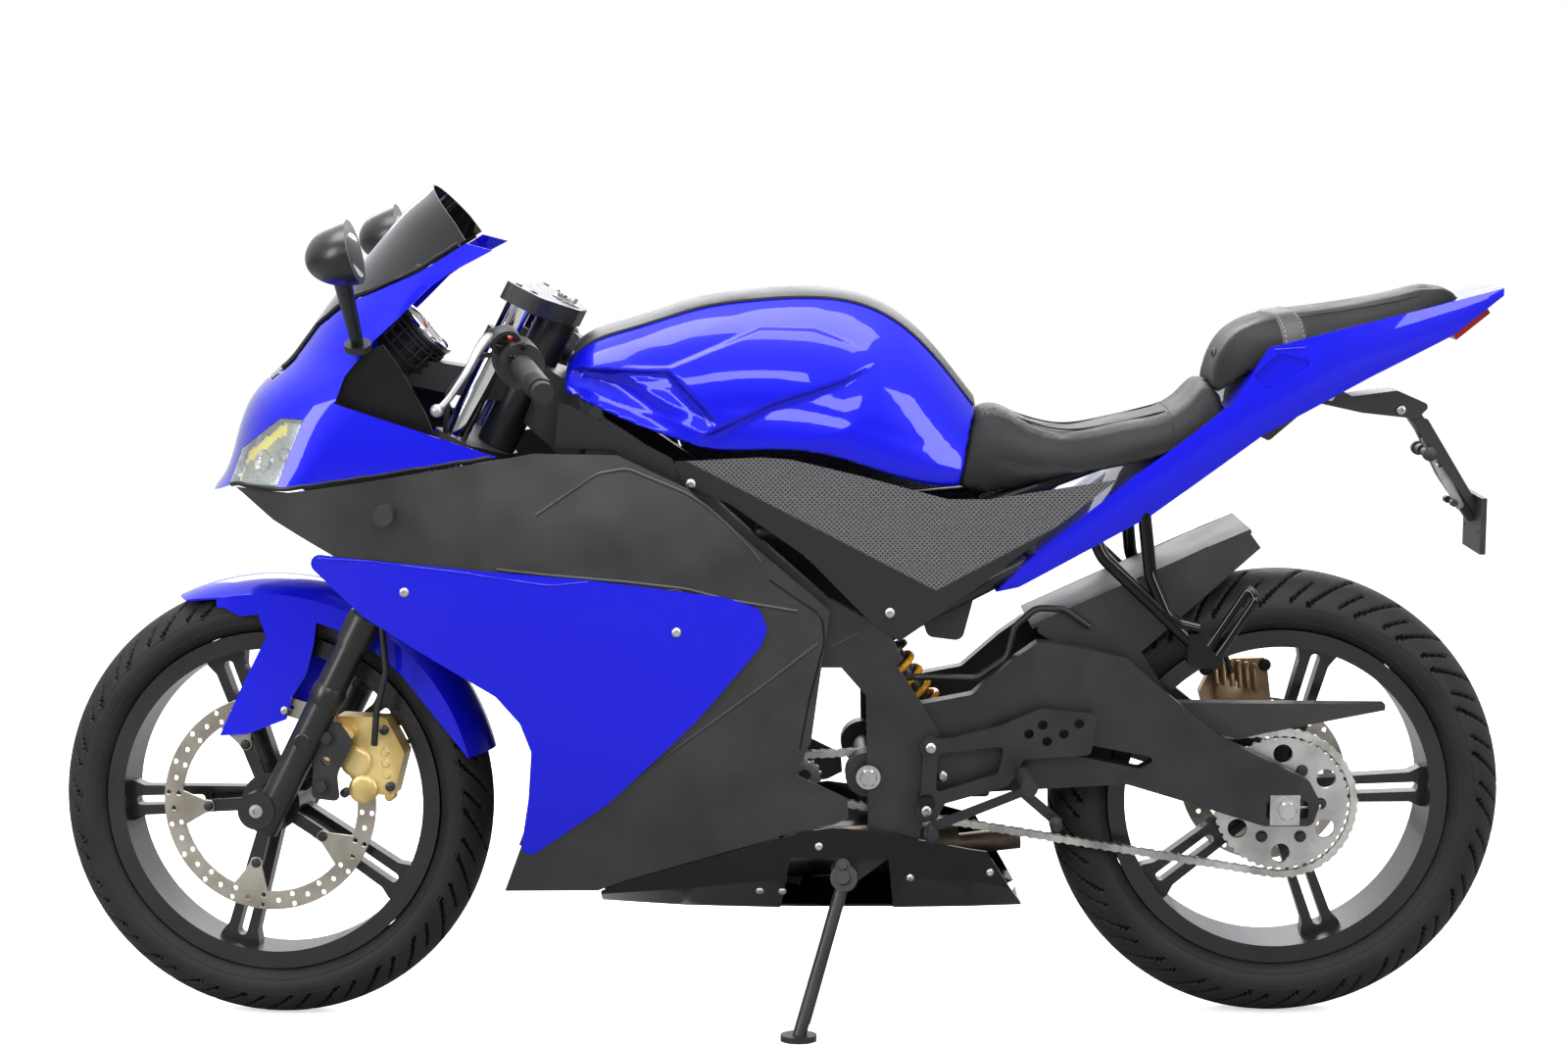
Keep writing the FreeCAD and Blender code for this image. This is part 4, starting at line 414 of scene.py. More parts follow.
# Baked enamel on cast aluminium wheels: smooth black with a weak gloss
WHEEL_BLACK = finish_of("wheel_black_enamel", "0B0B0C", "121213", (0.25, 0.34), coat=0.25, grain_mm=2.0, depth_mm=0.01)
# Powder coat on steel tube and cast alloy: half matt, with a slight orange peel
FRAME_BLACK = finish_of("frame_black_enamel", "161618", "202023", (0.35, 0.5), grain_mm=1.5, depth_mm=0.05)
# Enamel on the cast fork legs: a bit smoother than the frame
FORK_BLACK = finish_of("fork_black_enamel", "121213", "1B1B1D", (0.28, 0.4), grain_mm=1.5, depth_mm=0.03)
# Cast alloy under a dark coat: grey where it turns to the light
YOKE_GREY = finish_of("yoke_grey_alloy", "2C2C2E", "424244", (0.4, 0.55), 0.5, grain_mm=1.0, depth_mm=0.05)
# Gold enamel on the front caliper: a satin metal colour
GOLD = finish_of("caliper_gold_enamel", "B89A58", "DCC486", (0.3, 0.45), 0.6, grain_mm=1.0, depth_mm=0.04)
# Bronze enamel on the rear caliper: browner and duller
BRONZE = finish_of("caliper_bronze", "A08060", "CCAE8A", (0.35, 0.5), 0.6, grain_mm=1.0, depth_mm=0.05)
# Silver enamel on sand-cast cases: pale, with a coarse skin
ENGINE_CAST = finish_of("engine_grey_enamel", "9A9A9C", "C2C2C4", (0.4, 0.55), 0.5, grain_mm=1.4, depth_mm=0.12)
# Powder coat on the spring, thick and glossy: a clean warm yellow
YELLOW = finish_of("spring_yellow_enamel", "E09410", "F5AE1C", (0.2, 0.3), coat=0.6, grain_mm=3.0, depth_mm=0.01)
# Powder coat on pressed sheet: plain and half matt
BRACKET = finish_of("bracket_black_enamel", "19191A", "262628", (0.4, 0.5), grain_mm=1.0, depth_mm=0.04)
# Painted mirror shells: satin black with one soft highlight
MIRROR_BLACK = finish_of("mirror_satin_black", "111112", "171718", (0.3, 0.38), grain_mm=0.8, depth_mm=0.01)

# %% [markdown]
# Most of the black on a bike is plastic or rubber, and what tells the kinds apart is their surface. Plastic
# copies its steel tool, polished or etched, and rubber is always dull. All of them stay above pure black,
# because a black that reflects nothing looks like a hole in the picture.

# %% Plastics and rubbers
# Polished ABS: near black, it only shows where a lamp is mirrored in it
GLOSS_BLACK = finish_of("gloss_black_plastic", "050506", "08080A", (0.06, 0.12), coat=1.0, grain_mm=4.0, depth_mm=0.004,
                        specular=0.15, coat_ior=1.3)
# ABS from an etched tool: a fine grain that scatters light to grey
MOULDED_BLACK = finish_of("moulded_black_plastic", "1A1A1B", "242426", (0.45, 0.6), grain_mm=0.8, depth_mm=0.05)
# ABS from a dimpled tool: black, with painted sheen as light grey between the dimples and painted shade in them
DIMPLED = dimpled_plastic()
# Cockpit ABS under the screen: black plastic, painted darker still as the screen's painted shade, so nearly black
TRIM_BLACK = finish_of("cockpit_black_plastic", "070708", "0C0C0D", (0.3, 0.42), grain_mm=0.8, depth_mm=0.03,
                       specular=0.3)
# Vulcanised tyre rubber: dull, and a little lighter where it is dusty
RUBBER = finish_of("tyre_rubber", "151516", "1E1E1F", (0.55, 0.75), grain_mm=1.2, depth_mm=0.06, specular=0.3)
# The same rubber in the grooves, painted darker as painted shade, since little light reaches into them
GROOVE_SHADE_RUBBER = finish_of("tyre_groove_painted_shade", "060606", "0A0A0A", (0.8, 0.9), grain_mm=1.2, depth_mm=0.06,
                          specular=0.1)
# Soft moulded rubber of grips and pedals: darker and finer than a tyre
GRIP_RUBBER = finish_of("grip_rubber", "111112", "19191B", (0.55, 0.7), grain_mm=0.9, depth_mm=0.08)
# Extruded rubber hose: smooth and black, with one thin highlight along it
HOSE = finish_of("black_hose_rubber", "111112", "1B1B1C", (0.35, 0.5), grain_mm=1.5, depth_mm=0.03)
# Embossed seat vinyl: soft black with a pebble grain
VINYL = seat_skin()
# Clear polycarbonate: the reflector shows through it
LENS = clear_plastic("headlight_lens", "F2F5F7", 0.10)
# Smoked acrylic: dark grey, clear enough to see that something stands behind
SMOKE = clear_plastic("smoked_acrylic", "141415", 0.8)
# Red acrylic over a lamp that is off: dark red with a hard gloss
RED_LENS = finish_of("red_lamp_lens", "7A0508", "A80A0E", (0.08, 0.14), coat=1.0, grain_mm=3.0, depth_mm=0.05)
# Red nylon switch: bright and plain, because it has to be found at a glance
RED_PLASTIC = finish_of("red_switch_plastic", "C01008", "E02012", (0.25, 0.35), grain_mm=2.0, depth_mm=0.01)

# %% [markdown]
# Bare metals take their colour from what they reflect, so metallic is 1 or close to it and the roughness says
# how the surface was made: polished chrome 0.05, ground and plated steel 0.3, castings 0.4 and more. Only the
# radiator core is painted, so it is far less metallic.

# %% Bare metals
# Stainless steel, ground in rings: warm grey, with a broad sheen
DISC_STEEL = finish_of("ground_disc_steel", "9C958A", "BDB7AC", (0.3, 0.42), 1.0, grain_mm=0.5, depth_mm=0.02)
# Rolled and oiled chain steel: bright edges between dark gaps
CHAIN_STEEL = finish_of("chain_steel", "9A9A96", "D5D5D0", (0.25, 0.45), 1.0, grain_mm=1.2, depth_mm=0.04)
# Zinc plate on bolts and axles: pale grey metal, slightly cloudy
BOLT_STEEL = finish_of("zinc_bolt_steel", "A8A8A6", "CFCFCD", (0.25, 0.4), 1.0, grain_mm=0.8, depth_mm=0.02)
# Hard chrome on the fork tubes: a mirror, ground so that the seals slide on it
CHROME = finish_of("hard_chrome", "D8D8DA", "F0F0F2", (0.05, 0.1), 1.0, grain_mm=3.0, depth_mm=0.002)
# Cast and tumbled aluminium: bright but dull, without any mirror image
CAST_ALU = finish_of("cast_aluminium", "8E8E90", "B4B4B6", (0.35, 0.5), 1.0, grain_mm=1.0, depth_mm=0.06)
# Steel that has been hot: brown to straw colour, with a dull sheen
EXHAUST = finish_of("exhaust_steel", "4A4038", "8A7A6A", (0.35, 0.55), 0.9, grain_mm=2.0, depth_mm=0.05)
# Painted radiator fins: folded sheet, drawn as stretched grain coarse enough to show
CORE_BLACK = finish_of("radiator_core_black", "101011", "1C1C1E", (0.5, 0.65), 0.3, grain_mm=1.2, depth_mm=0.3,
                       stretch=(1, 1, 0.1))

# %% [markdown]
# Each CAD node keeps its shape and gets one of these finishes. A CAD mesh comes as flat triangles whose corners
# are not joined, and it would show facets on every curve. The weld modifier joins the corners, all faces are
# shaded smooth, and the edge split modifier cuts the shading again where two faces meet at more than 38
# degrees, so that curves look round and edges stay crisp.

# %% Finishes of the CAD nodes
LOOKS = {
    "front_tyre": RUBBER, "rear_tyre": RUBBER, "front_rim": WHEEL_BLACK, "rear_rim": WHEEL_BLACK,
    "front_disc": DISC_STEEL, "rear_disc": DISC_STEEL, "rear_sprocket": BOLT_STEEL, "front_sprocket": BOLT_STEEL,
    "chain": CHAIN_STEEL, "front_axle": BOLT_STEEL, "rear_axle": BOLT_STEEL, "fork_legs": FORK_BLACK,
    "fork_tubes": CHROME, "yokes": YOKE_GREY, "handlebars": MOULDED_BLACK, "grips": GRIP_RUBBER,
    "levers": CAST_ALU, "front_mudguard": BLUE, "front_caliper": GOLD, "frame": FRAME_BLACK,
    "engine": ENGINE_CAST, "swingarm": FRAME_BLACK, "rear_caliper": BRONZE, "rear_shock": YELLOW,
    "exhaust": EXHAUST, "radiator": CORE_BLACK, "hugger": MOULDED_BLACK, "footrests": FRAME_BLACK,
    "passenger_hangers": GLOSS_BLACK, "side_stand": FRAME_BLACK, "tank": BLUE, "rider_seat": VINYL,
    "pillion_seat": VINYL, "tail_fairing": BLUE, "middle_fairings": SATIN_BLACK, "side_panels": BLUE,
    "upper_fairing": BLUE, "headlights": LENS, "windscreen": SMOKE, "belly_pan": GLOSS_BLACK,
    "side_covers": DIMPLED, "instruments": MOULDED_BLACK, "mirrors": MIRROR_BLACK, "plate_bracket": BRACKET,
    "tail_lamp": RED_LENS, "under_box": MOULDED_BLACK, "indicators": MOULDED_BLACK,
    "tank_strip": MOULDED_BLACK, "cockpit_trims": TRIM_BLACK, "control_lines": HOSE, "rear_hose": HOSE,
}


def coat(mesh, mat):
    """One material and smooth shading for a mesh."""
    mesh.materials.clear()
    mesh.materials.append(mat)
    mesh.polygons.foreach_set("use_smooth", [True] * len(mesh.polygons))


def crisp(obj, angle=38.0):
    """Shading cut at edges sharper than an angle in degrees."""
    edges = obj.modifiers.new("sharp_edges", "EDGE_SPLIT")
    edges.split_angle = math.radians(angle)


def weld(obj, reach_mm=0.01):
    """Corners joined that lie on each other."""
    joined = obj.modifiers.new("weld", "WELD")
    joined.merge_threshold = reach_mm * MM


for name, mat in LOOKS.items():
    coat(nodes[name].data, mat)
    weld(nodes[name])
    crisp(nodes[name])
print("dressed nodes:", len(LOOKS))

# %% [markdown]
# Every added piece is drawn in bike millimetres and then placed with the body that carries it. The frame needs
# to know three things about it: the body it rides on, the material slot it shows, and the CAD node it stands
# for, if it replaces one. One function does all three, so no piece can miss one of them, and prints what it
# made.

# %% Placing an added piece
TO_WORLD = {body: place @ Matrix.Scale(MM, 4) for body, place in PLACES.items()}
BODY_OF = {name: body for body, names in frame["record"]["behaviour"]["bodies"].items() for name in names}


def place_mesh(name, mesh, mat, body, angle=40.0, replaces=()):
    """Object from a mesh drawn in bike millimetres."""
    mesh.transform(TO_WORLD[body])
    coat(mesh, mat)
    obj = bpy.data.objects.new(name, mesh)
    bpy.context.scene.collection.objects.link(obj)
    if angle:
        crisp(obj, angle)
    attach(obj, body)
    if replaces:
        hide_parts(*replaces)
    print(name, "on", body, "with", len(mesh.polygons), "faces")
    return obj


def from_bmesh(name, bm, mat, body, angle=40.0, replaces=()):
    """Object from a bmesh, with its faces turned outwards."""
    mesh = bpy.data.meshes.new(name)
    bmesh.ops.recalc_face_normals(bm, faces=bm.faces)
    bm.to_mesh(mesh)
    bm.free()
    return place_mesh(name, mesh, mat, body, angle, replaces)


# %% [markdown]
# Bolts, nuts, caps and rings are turned on a lathe or look as if they were: a profile swept round an axis.
# Blender's cylinders could be stacked for that, but a profile of radius and height pairs gives chamfers,
# grooves and sockets in one closed form. Some of its rings can be polygons, which turns a round head into a
# hexagon.

# %% Turned forms
def square_to(axis):
    """Two directions square to an axis."""
    axis = Vector(axis).normalized()
    other = Vector((0, 0, 1)) if abs(axis.z) < 0.9 else Vector((1, 0, 0))
    first = axis.cross(other).normalized()
    return first, axis.cross(first)


def lathe(bm, place, axis, profile, segments=24, sides=None, turn=0.0):
    """Turned form: profile is (radius, height along the axis). sides gives rings that are polygons, as a bolt's."""
    axis = Vector(axis).normalized()
    first, second = square_to(axis)
    rings = []
    for k, (radius, height) in enumerate(profile):
        centre = Vector(place) + axis * height
        if radius <= 0:
            rings.append([bm.verts.new(centre)])
            continue
        ring = []
        for i in range(segments):
            angle = turn + 2 * math.pi * i / segments
            reach = radius
            if sides and k in sides:
                wedge = 2 * math.pi / sides[k]
                reach = radius * math.cos(wedge / 2) / math.cos((angle % wedge) - wedge / 2)
            ring.append(bm.verts.new(centre + (first * math.cos(angle) + second * math.sin(angle)) * reach))
        rings.append(ring)
    for low, high in zip(rings, rings[1:]):
        for i in range(segments):
            j = (i + 1) % segments
            if len(low) == 1:
                bm.faces.new((low[0], high[j], high[i]))
            elif len(high) == 1:
                bm.faces.new((low[i], low[j], high[0]))
            else:
                bm.faces.new((low[i], low[j], high[j], high[i]))
    return bm


# %% [markdown]
# Two kinds of bolt show on the bike: low domed heads with a hexagon socket on the plastic panels, and plain
# hexagon heads on a washer where the load is high. All their sizes follow from the head's radius, as they do in
# the standards for bolts.

# %% Bolt heads
def button_head(bm, place, axis, radius):
    """Domed bolt head with a hexagon socket."""
    r = radius
    profile = [(r, -1.0), (r, 0.22 * r), (0.86 * r, 0.42 * r), (0.6 * r, 0.55 * r), (0.42 * r, 0.56 * r),
               (0.4 * r, 0.2 * r), (0, 0.2 * r)]
    lathe(bm, place, axis, profile, 24, {4: 6, 5: 6})


def hexagon_head(bm, place, axis, radius, washer=True):
    """Hexagon bolt head with a domed top, on a washer."""
    r = radius
    base = 0.12 * r if washer else 0.0
    if washer:
        lathe(bm, place, axis, [(1.35 * r, -1.0), (1.35 * r, base), (0, base)], 24)
    profile = [(r, base - 0.5), (r, base + 0.5 * r), (0.84 * r, base + 0.6 * r), (0, base + 0.62 * r)]
    lathe(bm, place, axis, profile, 24, {0: 6, 1: 6})


# %% [markdown]
# A bolt has to sit on its panel, and the panels are curved. Typing its depth would be guesswork, and would be
# wrong after any change to the CAD model. So a ray is sent from the side of the bike towards the panel, in a
# search tree over its faces, and gives the point and the direction in which the surface faces there.

# %% Finding the surface
def search_tree(*names):
    """Search tree over CAD nodes, in bike millimetres."""
    verts, faces = [], []
    for name in names:
        back = TO_WORLD[BODY_OF[name]].inverted()
        mesh = nodes[name].data
        base = len(verts)
        verts += [back @ v.co for v in mesh.vertices]
        faces += [[base + i for i in p.vertices] for p in mesh.polygons]
    return BVHTree.FromPolygons(verts, faces)


OUTSIDE_Y = 420.0


def on_side(tree, x, z, side=1):
    """Point and outward direction where a line from the side first meets the surface."""
    hit = tree.ray_cast(Vector((x, side * OUTSIDE_Y, z)), Vector((0, -side, 0)))
    if hit[0] is None:
        return None
    normal = hit[1] if hit[1].y * side > 0 else -hit[1]
    return hit[0], normal


def side_bolts(name, places, names, radius, mat, body, head=button_head):
    """Bolt heads on the outside of panels, at (x, z) places, on both sides."""
    tree = search_tree(*names)
    bm = bmesh.new()
    for x, z in places:
        for side in (1, -1):
            found = on_side(tree, x, z, side)
            if found:
                head(bm, found[0], found[1], radius)
    from_bmesh(name, bm, mat, body)


# %% [markdown]
# Discs, brackets and adjusters are cut from sheet. In Blender a closed curve that is filled, extruded and
# bevelled gives such a part straight from its outline, with holes as further outlines, and without the ragged
# edges that boolean cuts leave.

# %% Parts cut from sheet
def rounded(points, radius, steps=5):
    """Closed outline with rounded corners."""
    out = []
    count = len(points)
    for i in range(count):
        a, b, c = (Vector(points[j % count]) for j in (i - 1, i, i + 1))
        to_a, to_c = a - b, c - b
        reach = min(radius, 0.45 * to_a.length, 0.45 * to_c.length)
        start, end = b + to_a.normalized() * reach, b + to_c.normalized() * reach
        for k in range(steps + 1):
            t = k / steps
            out.append(tuple(start * (1 - t) ** 2 + b * 2 * t * (1 - t) + end * t * t))
    return out


def circle(x, z, radius, steps=20):
    """Outline of a round hole."""
    angles = [2 * math.pi * i / steps for i in range(steps)]
    return [(x + radius * math.cos(a), z + radius * math.sin(a)) for a in angles]


def flat_mesh(name, outline, y_low, y_high, holes=(), bevel=0.6):
    """Flat plate with holes, from outlines in X and Z."""
    data = bpy.data.curves.new(name, "CURVE")
    data.dimensions = "2D"
    data.fill_mode = "BOTH"
    for points in [outline, *holes]:
        spline = data.splines.new("POLY")
        spline.points.add(len(points) - 1)
        for target, (x, z) in zip(spline.points, points):
            target.co = (x, z, 0, 1)
        spline.use_cyclic_u = True
    half = abs(y_high - y_low) / 2
    data.bevel_depth = min(bevel, half * 0.6)
    data.bevel_resolution = 1
    data.offset = -data.bevel_depth
    data.extrude = half - data.bevel_depth
    obj = bpy.data.objects.new(name, data)
    mesh = bpy.data.meshes.new_from_object(obj)
    bpy.data.objects.remove(obj)
    middle = (y_low + y_high) / 2
    mesh.transform(Matrix(((1, 0, 0, 0), (0, 0, -1, middle), (0, 1, 0, 0), (0, 0, 0, 1))))
    return mesh


def plate(name, outline, y_low, y_high, mat, body, holes=(), bevel=0.6, replaces=(), mirror=False):
    """Sheet part between two sideways places, and its mirror image where asked."""
    mesh = flat_mesh(name, outline, y_low, y_high, holes, bevel)
    if mirror:
        bm = bmesh.new()
        bm.from_mesh(mesh)
        bm.from_mesh(flat_mesh(name + "_far", outline, -y_high, -y_low, holes, bevel))
        bm.to_mesh(mesh)
        bm.free()
    return place_mesh(name, mesh, mat, body, 35.0, replaces)


# %% [markdown]
# Springs, levers, ribs and rubber edgings are all a round section drawn along a line. A curve with a bevel does
# that, and its control points can each have their own size, so a lever blade tapers. NURBS are used because
# they stay smooth with few points.

# %% Round sections along a line
def tube_mesh(name, points, radius, sizes=None):
    """Round tube along a smooth line through control points."""
    data = bpy.data.curves.new(name, "CURVE")
    data.dimensions = "3D"
    spline = data.splines.new("NURBS")
    spline.points.add(len(points) - 1)
    for i, (target, point) in enumerate(zip(spline.points, points)):
        target.co = (*point, 1)
        target.radius = sizes[i] if sizes else 1.0
    spline.order_u = min(4, len(points))
    spline.use_endpoint_u = True
    spline.resolution_u = 6
    data.bevel_depth = radius
    data.bevel_resolution = 4
    data.use_fill_caps = True
    obj = bpy.data.objects.new(name, data)
    mesh = bpy.data.meshes.new_from_object(obj)
    bpy.data.objects.remove(obj)
    return mesh


def tube(name, points, radius, mat, body, replaces=(), sizes=None):
    """Object from one tube."""
    return place_mesh(name, tube_mesh(name, points, radius, sizes), mat, body, 50.0, replaces)


# %% [markdown]
# A road tyre is moulded with slanted grooves that start near the middle and run out over the shoulder, turned
# the other way on the two sides. Cutting 52 grooves with booleans would be slow and fragile. Instead the tyre
# is a fine grid, section by section, and every grid point is pushed in by how deep a groove is at its place.
# The section follows the CAD tyre: two arcs for the sidewalls and one for the crown. The faces at the bottom of
# the grooves get a darker copy of the rubber, as painted shade.

# %% Arc of a section
def arc_points(a, b, c, count):
    """Points along the arc through three points, from a to c."""
    ax, ay, bx, by, cx, cy = *a, *b, *c
    d = 2 * (ax * (by - cy) + bx * (cy - ay) + cx * (ay - by))
    ux = ((ax * ax + ay * ay) * (by - cy) + (bx * bx + by * by) * (cy - ay) + (cx * cx + cy * cy) * (ay - by)) / d
    uy = ((ax * ax + ay * ay) * (cx - bx) + (bx * bx + by * by) * (ax - cx) + (cx * cx + cy * cy) * (bx - ax)) / d
    start, mid, end = (math.atan2(p[1] - uy, p[0] - ux) for p in (a, b, c))
    radius = math.hypot(ax - ux, ay - uy)
    span = (end - start) % (2 * math.pi)
    if (mid - start) % (2 * math.pi) > span:
        span -= 2 * math.pi
    return [(ux + radius * math.cos(start + span * i / count), uy + radius * math.sin(start + span * i / count))
            for i in range(count + 1)]


# %% [markdown]
# The grid's places come from the section, and its grooves from one formula: a groove is a line of places where
# the turn round the axle plus the slant across the tread is a whole number. How far a grid point is from the
# nearest such line says how deep it lies. Two families of grooves, one long and one short, alternate round the
# tyre. The tyre is 0.2 mm smaller than the CAD one, so that no corner of the grid lies outside the real size.

# %% Tread
RIM_LIP, LIP_RADIUS, BEAD_INSET = 230.0, 230.6, 6.3
WALL_STEPS, TREAD_STEPS, AROUND = 13, 44, 840
GROOVE_DEPTH, GROOVE_WIDE, GROOVE_NARROW = 4.2, 3.2, 2.6
REPEATS = 26


def tyre(name, centre, radius, width, crown, rim_width, body, slant):
    """Tyre with grooves. slant is how far a groove runs round the tyre on its way out, in repeats."""
    half = width / 2
    bead_y = rim_width / 2 - BEAD_INSET
    shoulder_y = 0.9 * half
    shoulder_r = radius - crown + math.sqrt(crown ** 2 - shoulder_y ** 2)
    belly_r = (RIM_LIP + shoulder_r) / 2
    wall = arc_points((bead_y, LIP_RADIUS), (half, belly_r), (shoulder_y, shoulder_r), WALL_STEPS)
    tread = arc_points((shoulder_y, shoulder_r), (0, radius), (-shoulder_y, shoulder_r), TREAD_STEPS)
    section = wall[:-1] + tread + [(-y, r) for y, r in reversed(wall[:-1])]
    y = np.array([p[0] for p in section])
    r = np.array([p[1] for p in section])
    turn = np.arange(AROUND) * 2 * math.pi / AROUND
    arc = 2 * math.pi * radius / REPEATS
    steps = np.hypot(np.diff(y), np.diff(r))
    walked = np.concatenate([[0], np.cumsum(steps)])
    half_tread = sum(steps[WALL_STEPS:WALL_STEPS + TREAD_STEPS]) / 2
    v = np.abs(walked - walked[-1] / 2) / half_tread
    normal_y, normal_r = np.gradient(r), -np.gradient(y)
    size = np.hypot(normal_y, normal_r)
    normal_y, normal_r = normal_y / size, normal_r / size
    turned = np.sign(normal_r[len(section) // 2])
    normal_y, normal_r = normal_y * turned, normal_r * turned

    def stroke(shift, low, high, half_width, bend):
        """Depth share of one family of grooves: lines that run from low to high across the tread."""
        side = np.where(y > 0, 0.0, 0.5)
        line = turn[:, None] * REPEATS / (2 * math.pi) + slant * (v + bend * v * v) + side + shift
        away = np.abs(line - np.round(line)) * arc
        across = np.clip((half_width - away) / 2.0 + 0.5, 0, 1)
        return across * np.clip((v - low) / 0.06, 0, 1) * np.clip((high - v) / 0.05, 0, 1)

    cut = np.maximum(stroke(0.0, 0.12, 1.22, GROOVE_WIDE, 0.3), stroke(0.5, 0.5, 1.14, GROOVE_NARROW, 0.2))
    depth = cut * GROOVE_DEPTH
    low_r = r[None, :] - depth * normal_r
    out_y = y[None, :] - depth * normal_y
    xs = centre.x + low_r * np.cos(turn)[:, None]
    zs = centre.z + low_r * np.sin(turn)[:, None]
    points = np.stack([xs, out_y + centre.y, zs], axis=-1).reshape(-1, 3)
    count = len(section)
    index = np.arange(AROUND * count).reshape(AROUND, count)
    following = np.roll(index, -1, axis=0)
    quads = np.stack([index[:, :-1], index[:, 1:], following[:, 1:], following[:, :-1]], axis=-1).reshape(-1, 4)
    inner = np.stack([index[:, -1], index[:, 0], following[:, 0], following[:, -1]], axis=-1)
    mesh = bpy.data.meshes.new(name)
    mesh.from_pydata(points.tolist(), [], np.concatenate([quads, inner]).tolist())
    mesh.update()
    obj = place_mesh(name, mesh, RUBBER, body, 42.0, (name.replace("_tread", ""),))
    obj.data.materials.append(GROOVE_SHADE_RUBBER)
    # Faces at the bottom of the grooves take the darker copy of the rubber: painted shade
    low = (cut[:, :-1] + cut[:, 1:]) / 2 > 0.45
    low = np.concatenate([low.reshape(-1), np.zeros(AROUND, bool)])
    obj.data.polygons.foreach_set("material_index", low.astype(np.int32))


SKIN = 0.2
tyre("front_tyre_tread", FRONT_AXLE, FRONT_RADIUS - SKIN, 101.0, FRONT_CROWN, 76.0, "front_wheel", 0.62)
tyre("rear_tyre_tread", REAR_AXLE, REAR_RADIUS - SKIN, 129.0, REAR_CROWN, 96.0, "rear_wheel", 0.66)

# %% [markdown]
# The mould also leaves two thin raised rings on each sidewall. They catch the light in a fine circle, which
# tells the eye that the sidewall bulges. They are lathe rings, set on the CAD tyre by a ray.

# %% Sidewall rings
for name, node, centre, low_r, body in (
        ("front_sidewall_rings", "front_tyre", FRONT_AXLE, 244.0, "front_wheel"),
        ("rear_sidewall_rings", "rear_tyre", REAR_AXLE, 243.0, "rear_wheel")):
    tree = search_tree(node)
    bm = bmesh.new()
    for reach in (low_r, low_r + 20):
        for side in (1, -1):
            hit = tree.ray_cast(centre + Vector((reach, side * 300.0, 0)), Vector((0, -side, 0)))
            place = centre + Vector((0, hit[0].y, 0))
            profile = [(reach - 1.4, -0.6), (reach - 0.6, 0.35), (reach + 0.6, 0.35), (reach + 1.4, -0.6)]
            lathe(bm, place, (0, side, 0), profile, 160)
    from_bmesh(name, bm, RUBBER, body)

# %% [markdown]
# A roller chain is a loop of pins one pitch apart, 12.7 mm here, joined by pairs of plates that lie in turn
# inside and outside. An array along a curve would stretch the links. So the loop's path is worked out from the
# two sprockets as two straight runs and two arcs, the pins are set on it at equal distances, and each plate is
# drawn between two neighbouring pins.

# %% Chain path
PITCH_MM, CHAIN_Y = 12.7, 79.0
REAR_TEETH, FRONT_TEETH = 48, 14
FRONT_SPROCKET = Vector((640, 0, 345))


def chain_path(share):
    """Place on the chain's loop after a share of it, and the loop's length."""
    rear, front = (PITCH_MM / (2 * math.sin(math.pi / teeth)) for teeth in (REAR_TEETH, FRONT_TEETH))
    along = FRONT_SPROCKET - REAR_AXLE
    slope = math.atan2(along.z, along.x)
    opening = math.acos((rear - front) / along.length)
    upper, lower = slope + opening, slope - opening

    def spot(centre, radius, angle):
        return centre + Vector((math.cos(angle), 0, math.sin(angle))) * radius

    run = math.sqrt(along.length ** 2 - (rear - front) ** 2)
    front_arc, rear_arc = front * (upper - lower), rear * (2 * math.pi - (upper - lower))
    total = 2 * run + front_arc + rear_arc
    at = share % 1.0 * total
    if at < run:
        return spot(REAR_AXLE, rear, upper).lerp(spot(FRONT_SPROCKET, front, upper), at / run), total
    at -= run
    if at < front_arc:
        return spot(FRONT_SPROCKET, front, upper - at / front), total
    at -= front_arc
    if at < run:
        return spot(FRONT_SPROCKET, front, lower).lerp(spot(REAR_AXLE, rear, lower), at / run), total
    return spot(REAR_AXLE, rear, lower - (at - run) / rear), total


# %% [markdown]
# A side plate is waisted between its two pins, to save weight where it carries little. Its outline is two arcs
# and two middle points. An odd number of links would leave two outer plates side by side, so the count is made
# even.

# %% Chain links
PLATE_THICKNESS, PLATE_RADIUS, WAIST = 1.5, 5.6, 0.72
OUTER_GAP, INNER_GAP = 5.0, 3.3
ROLLER, ROLLER_WIDTH, PIN, PIN_LENGTH = 4.0, 4.8, 2.3, 12.8


def link_plate(bm, start, end, y, thickness, radius):
    """One waisted side plate round two pins."""
    along = (end - start).normalized()
    across = Vector((-along.z, 0, along.x))
    outline = []
    for centre, first in ((end, -75), (start, 105)):
        for k in range(6):
            angle = math.radians(first + 30 * k)
            outline.append(centre + along * (radius * math.cos(angle)) + across * (radius * math.sin(angle)))
        outline.append((start + end) / 2 + across * (WAIST * radius if first < 0 else -WAIST * radius))
    sides = []
    for shift in (y - thickness / 2, y + thickness / 2):
        sides.append([bm.verts.new((p.x, shift, p.z)) for p in outline])
    count = len(outline)
    for i in range(count):
        j = (i + 1) % count
        bm.faces.new((sides[0][i], sides[0][j], sides[1][j], sides[1][i]))
    bm.faces.new(sides[0])
    bm.faces.new(list(reversed(sides[1])))


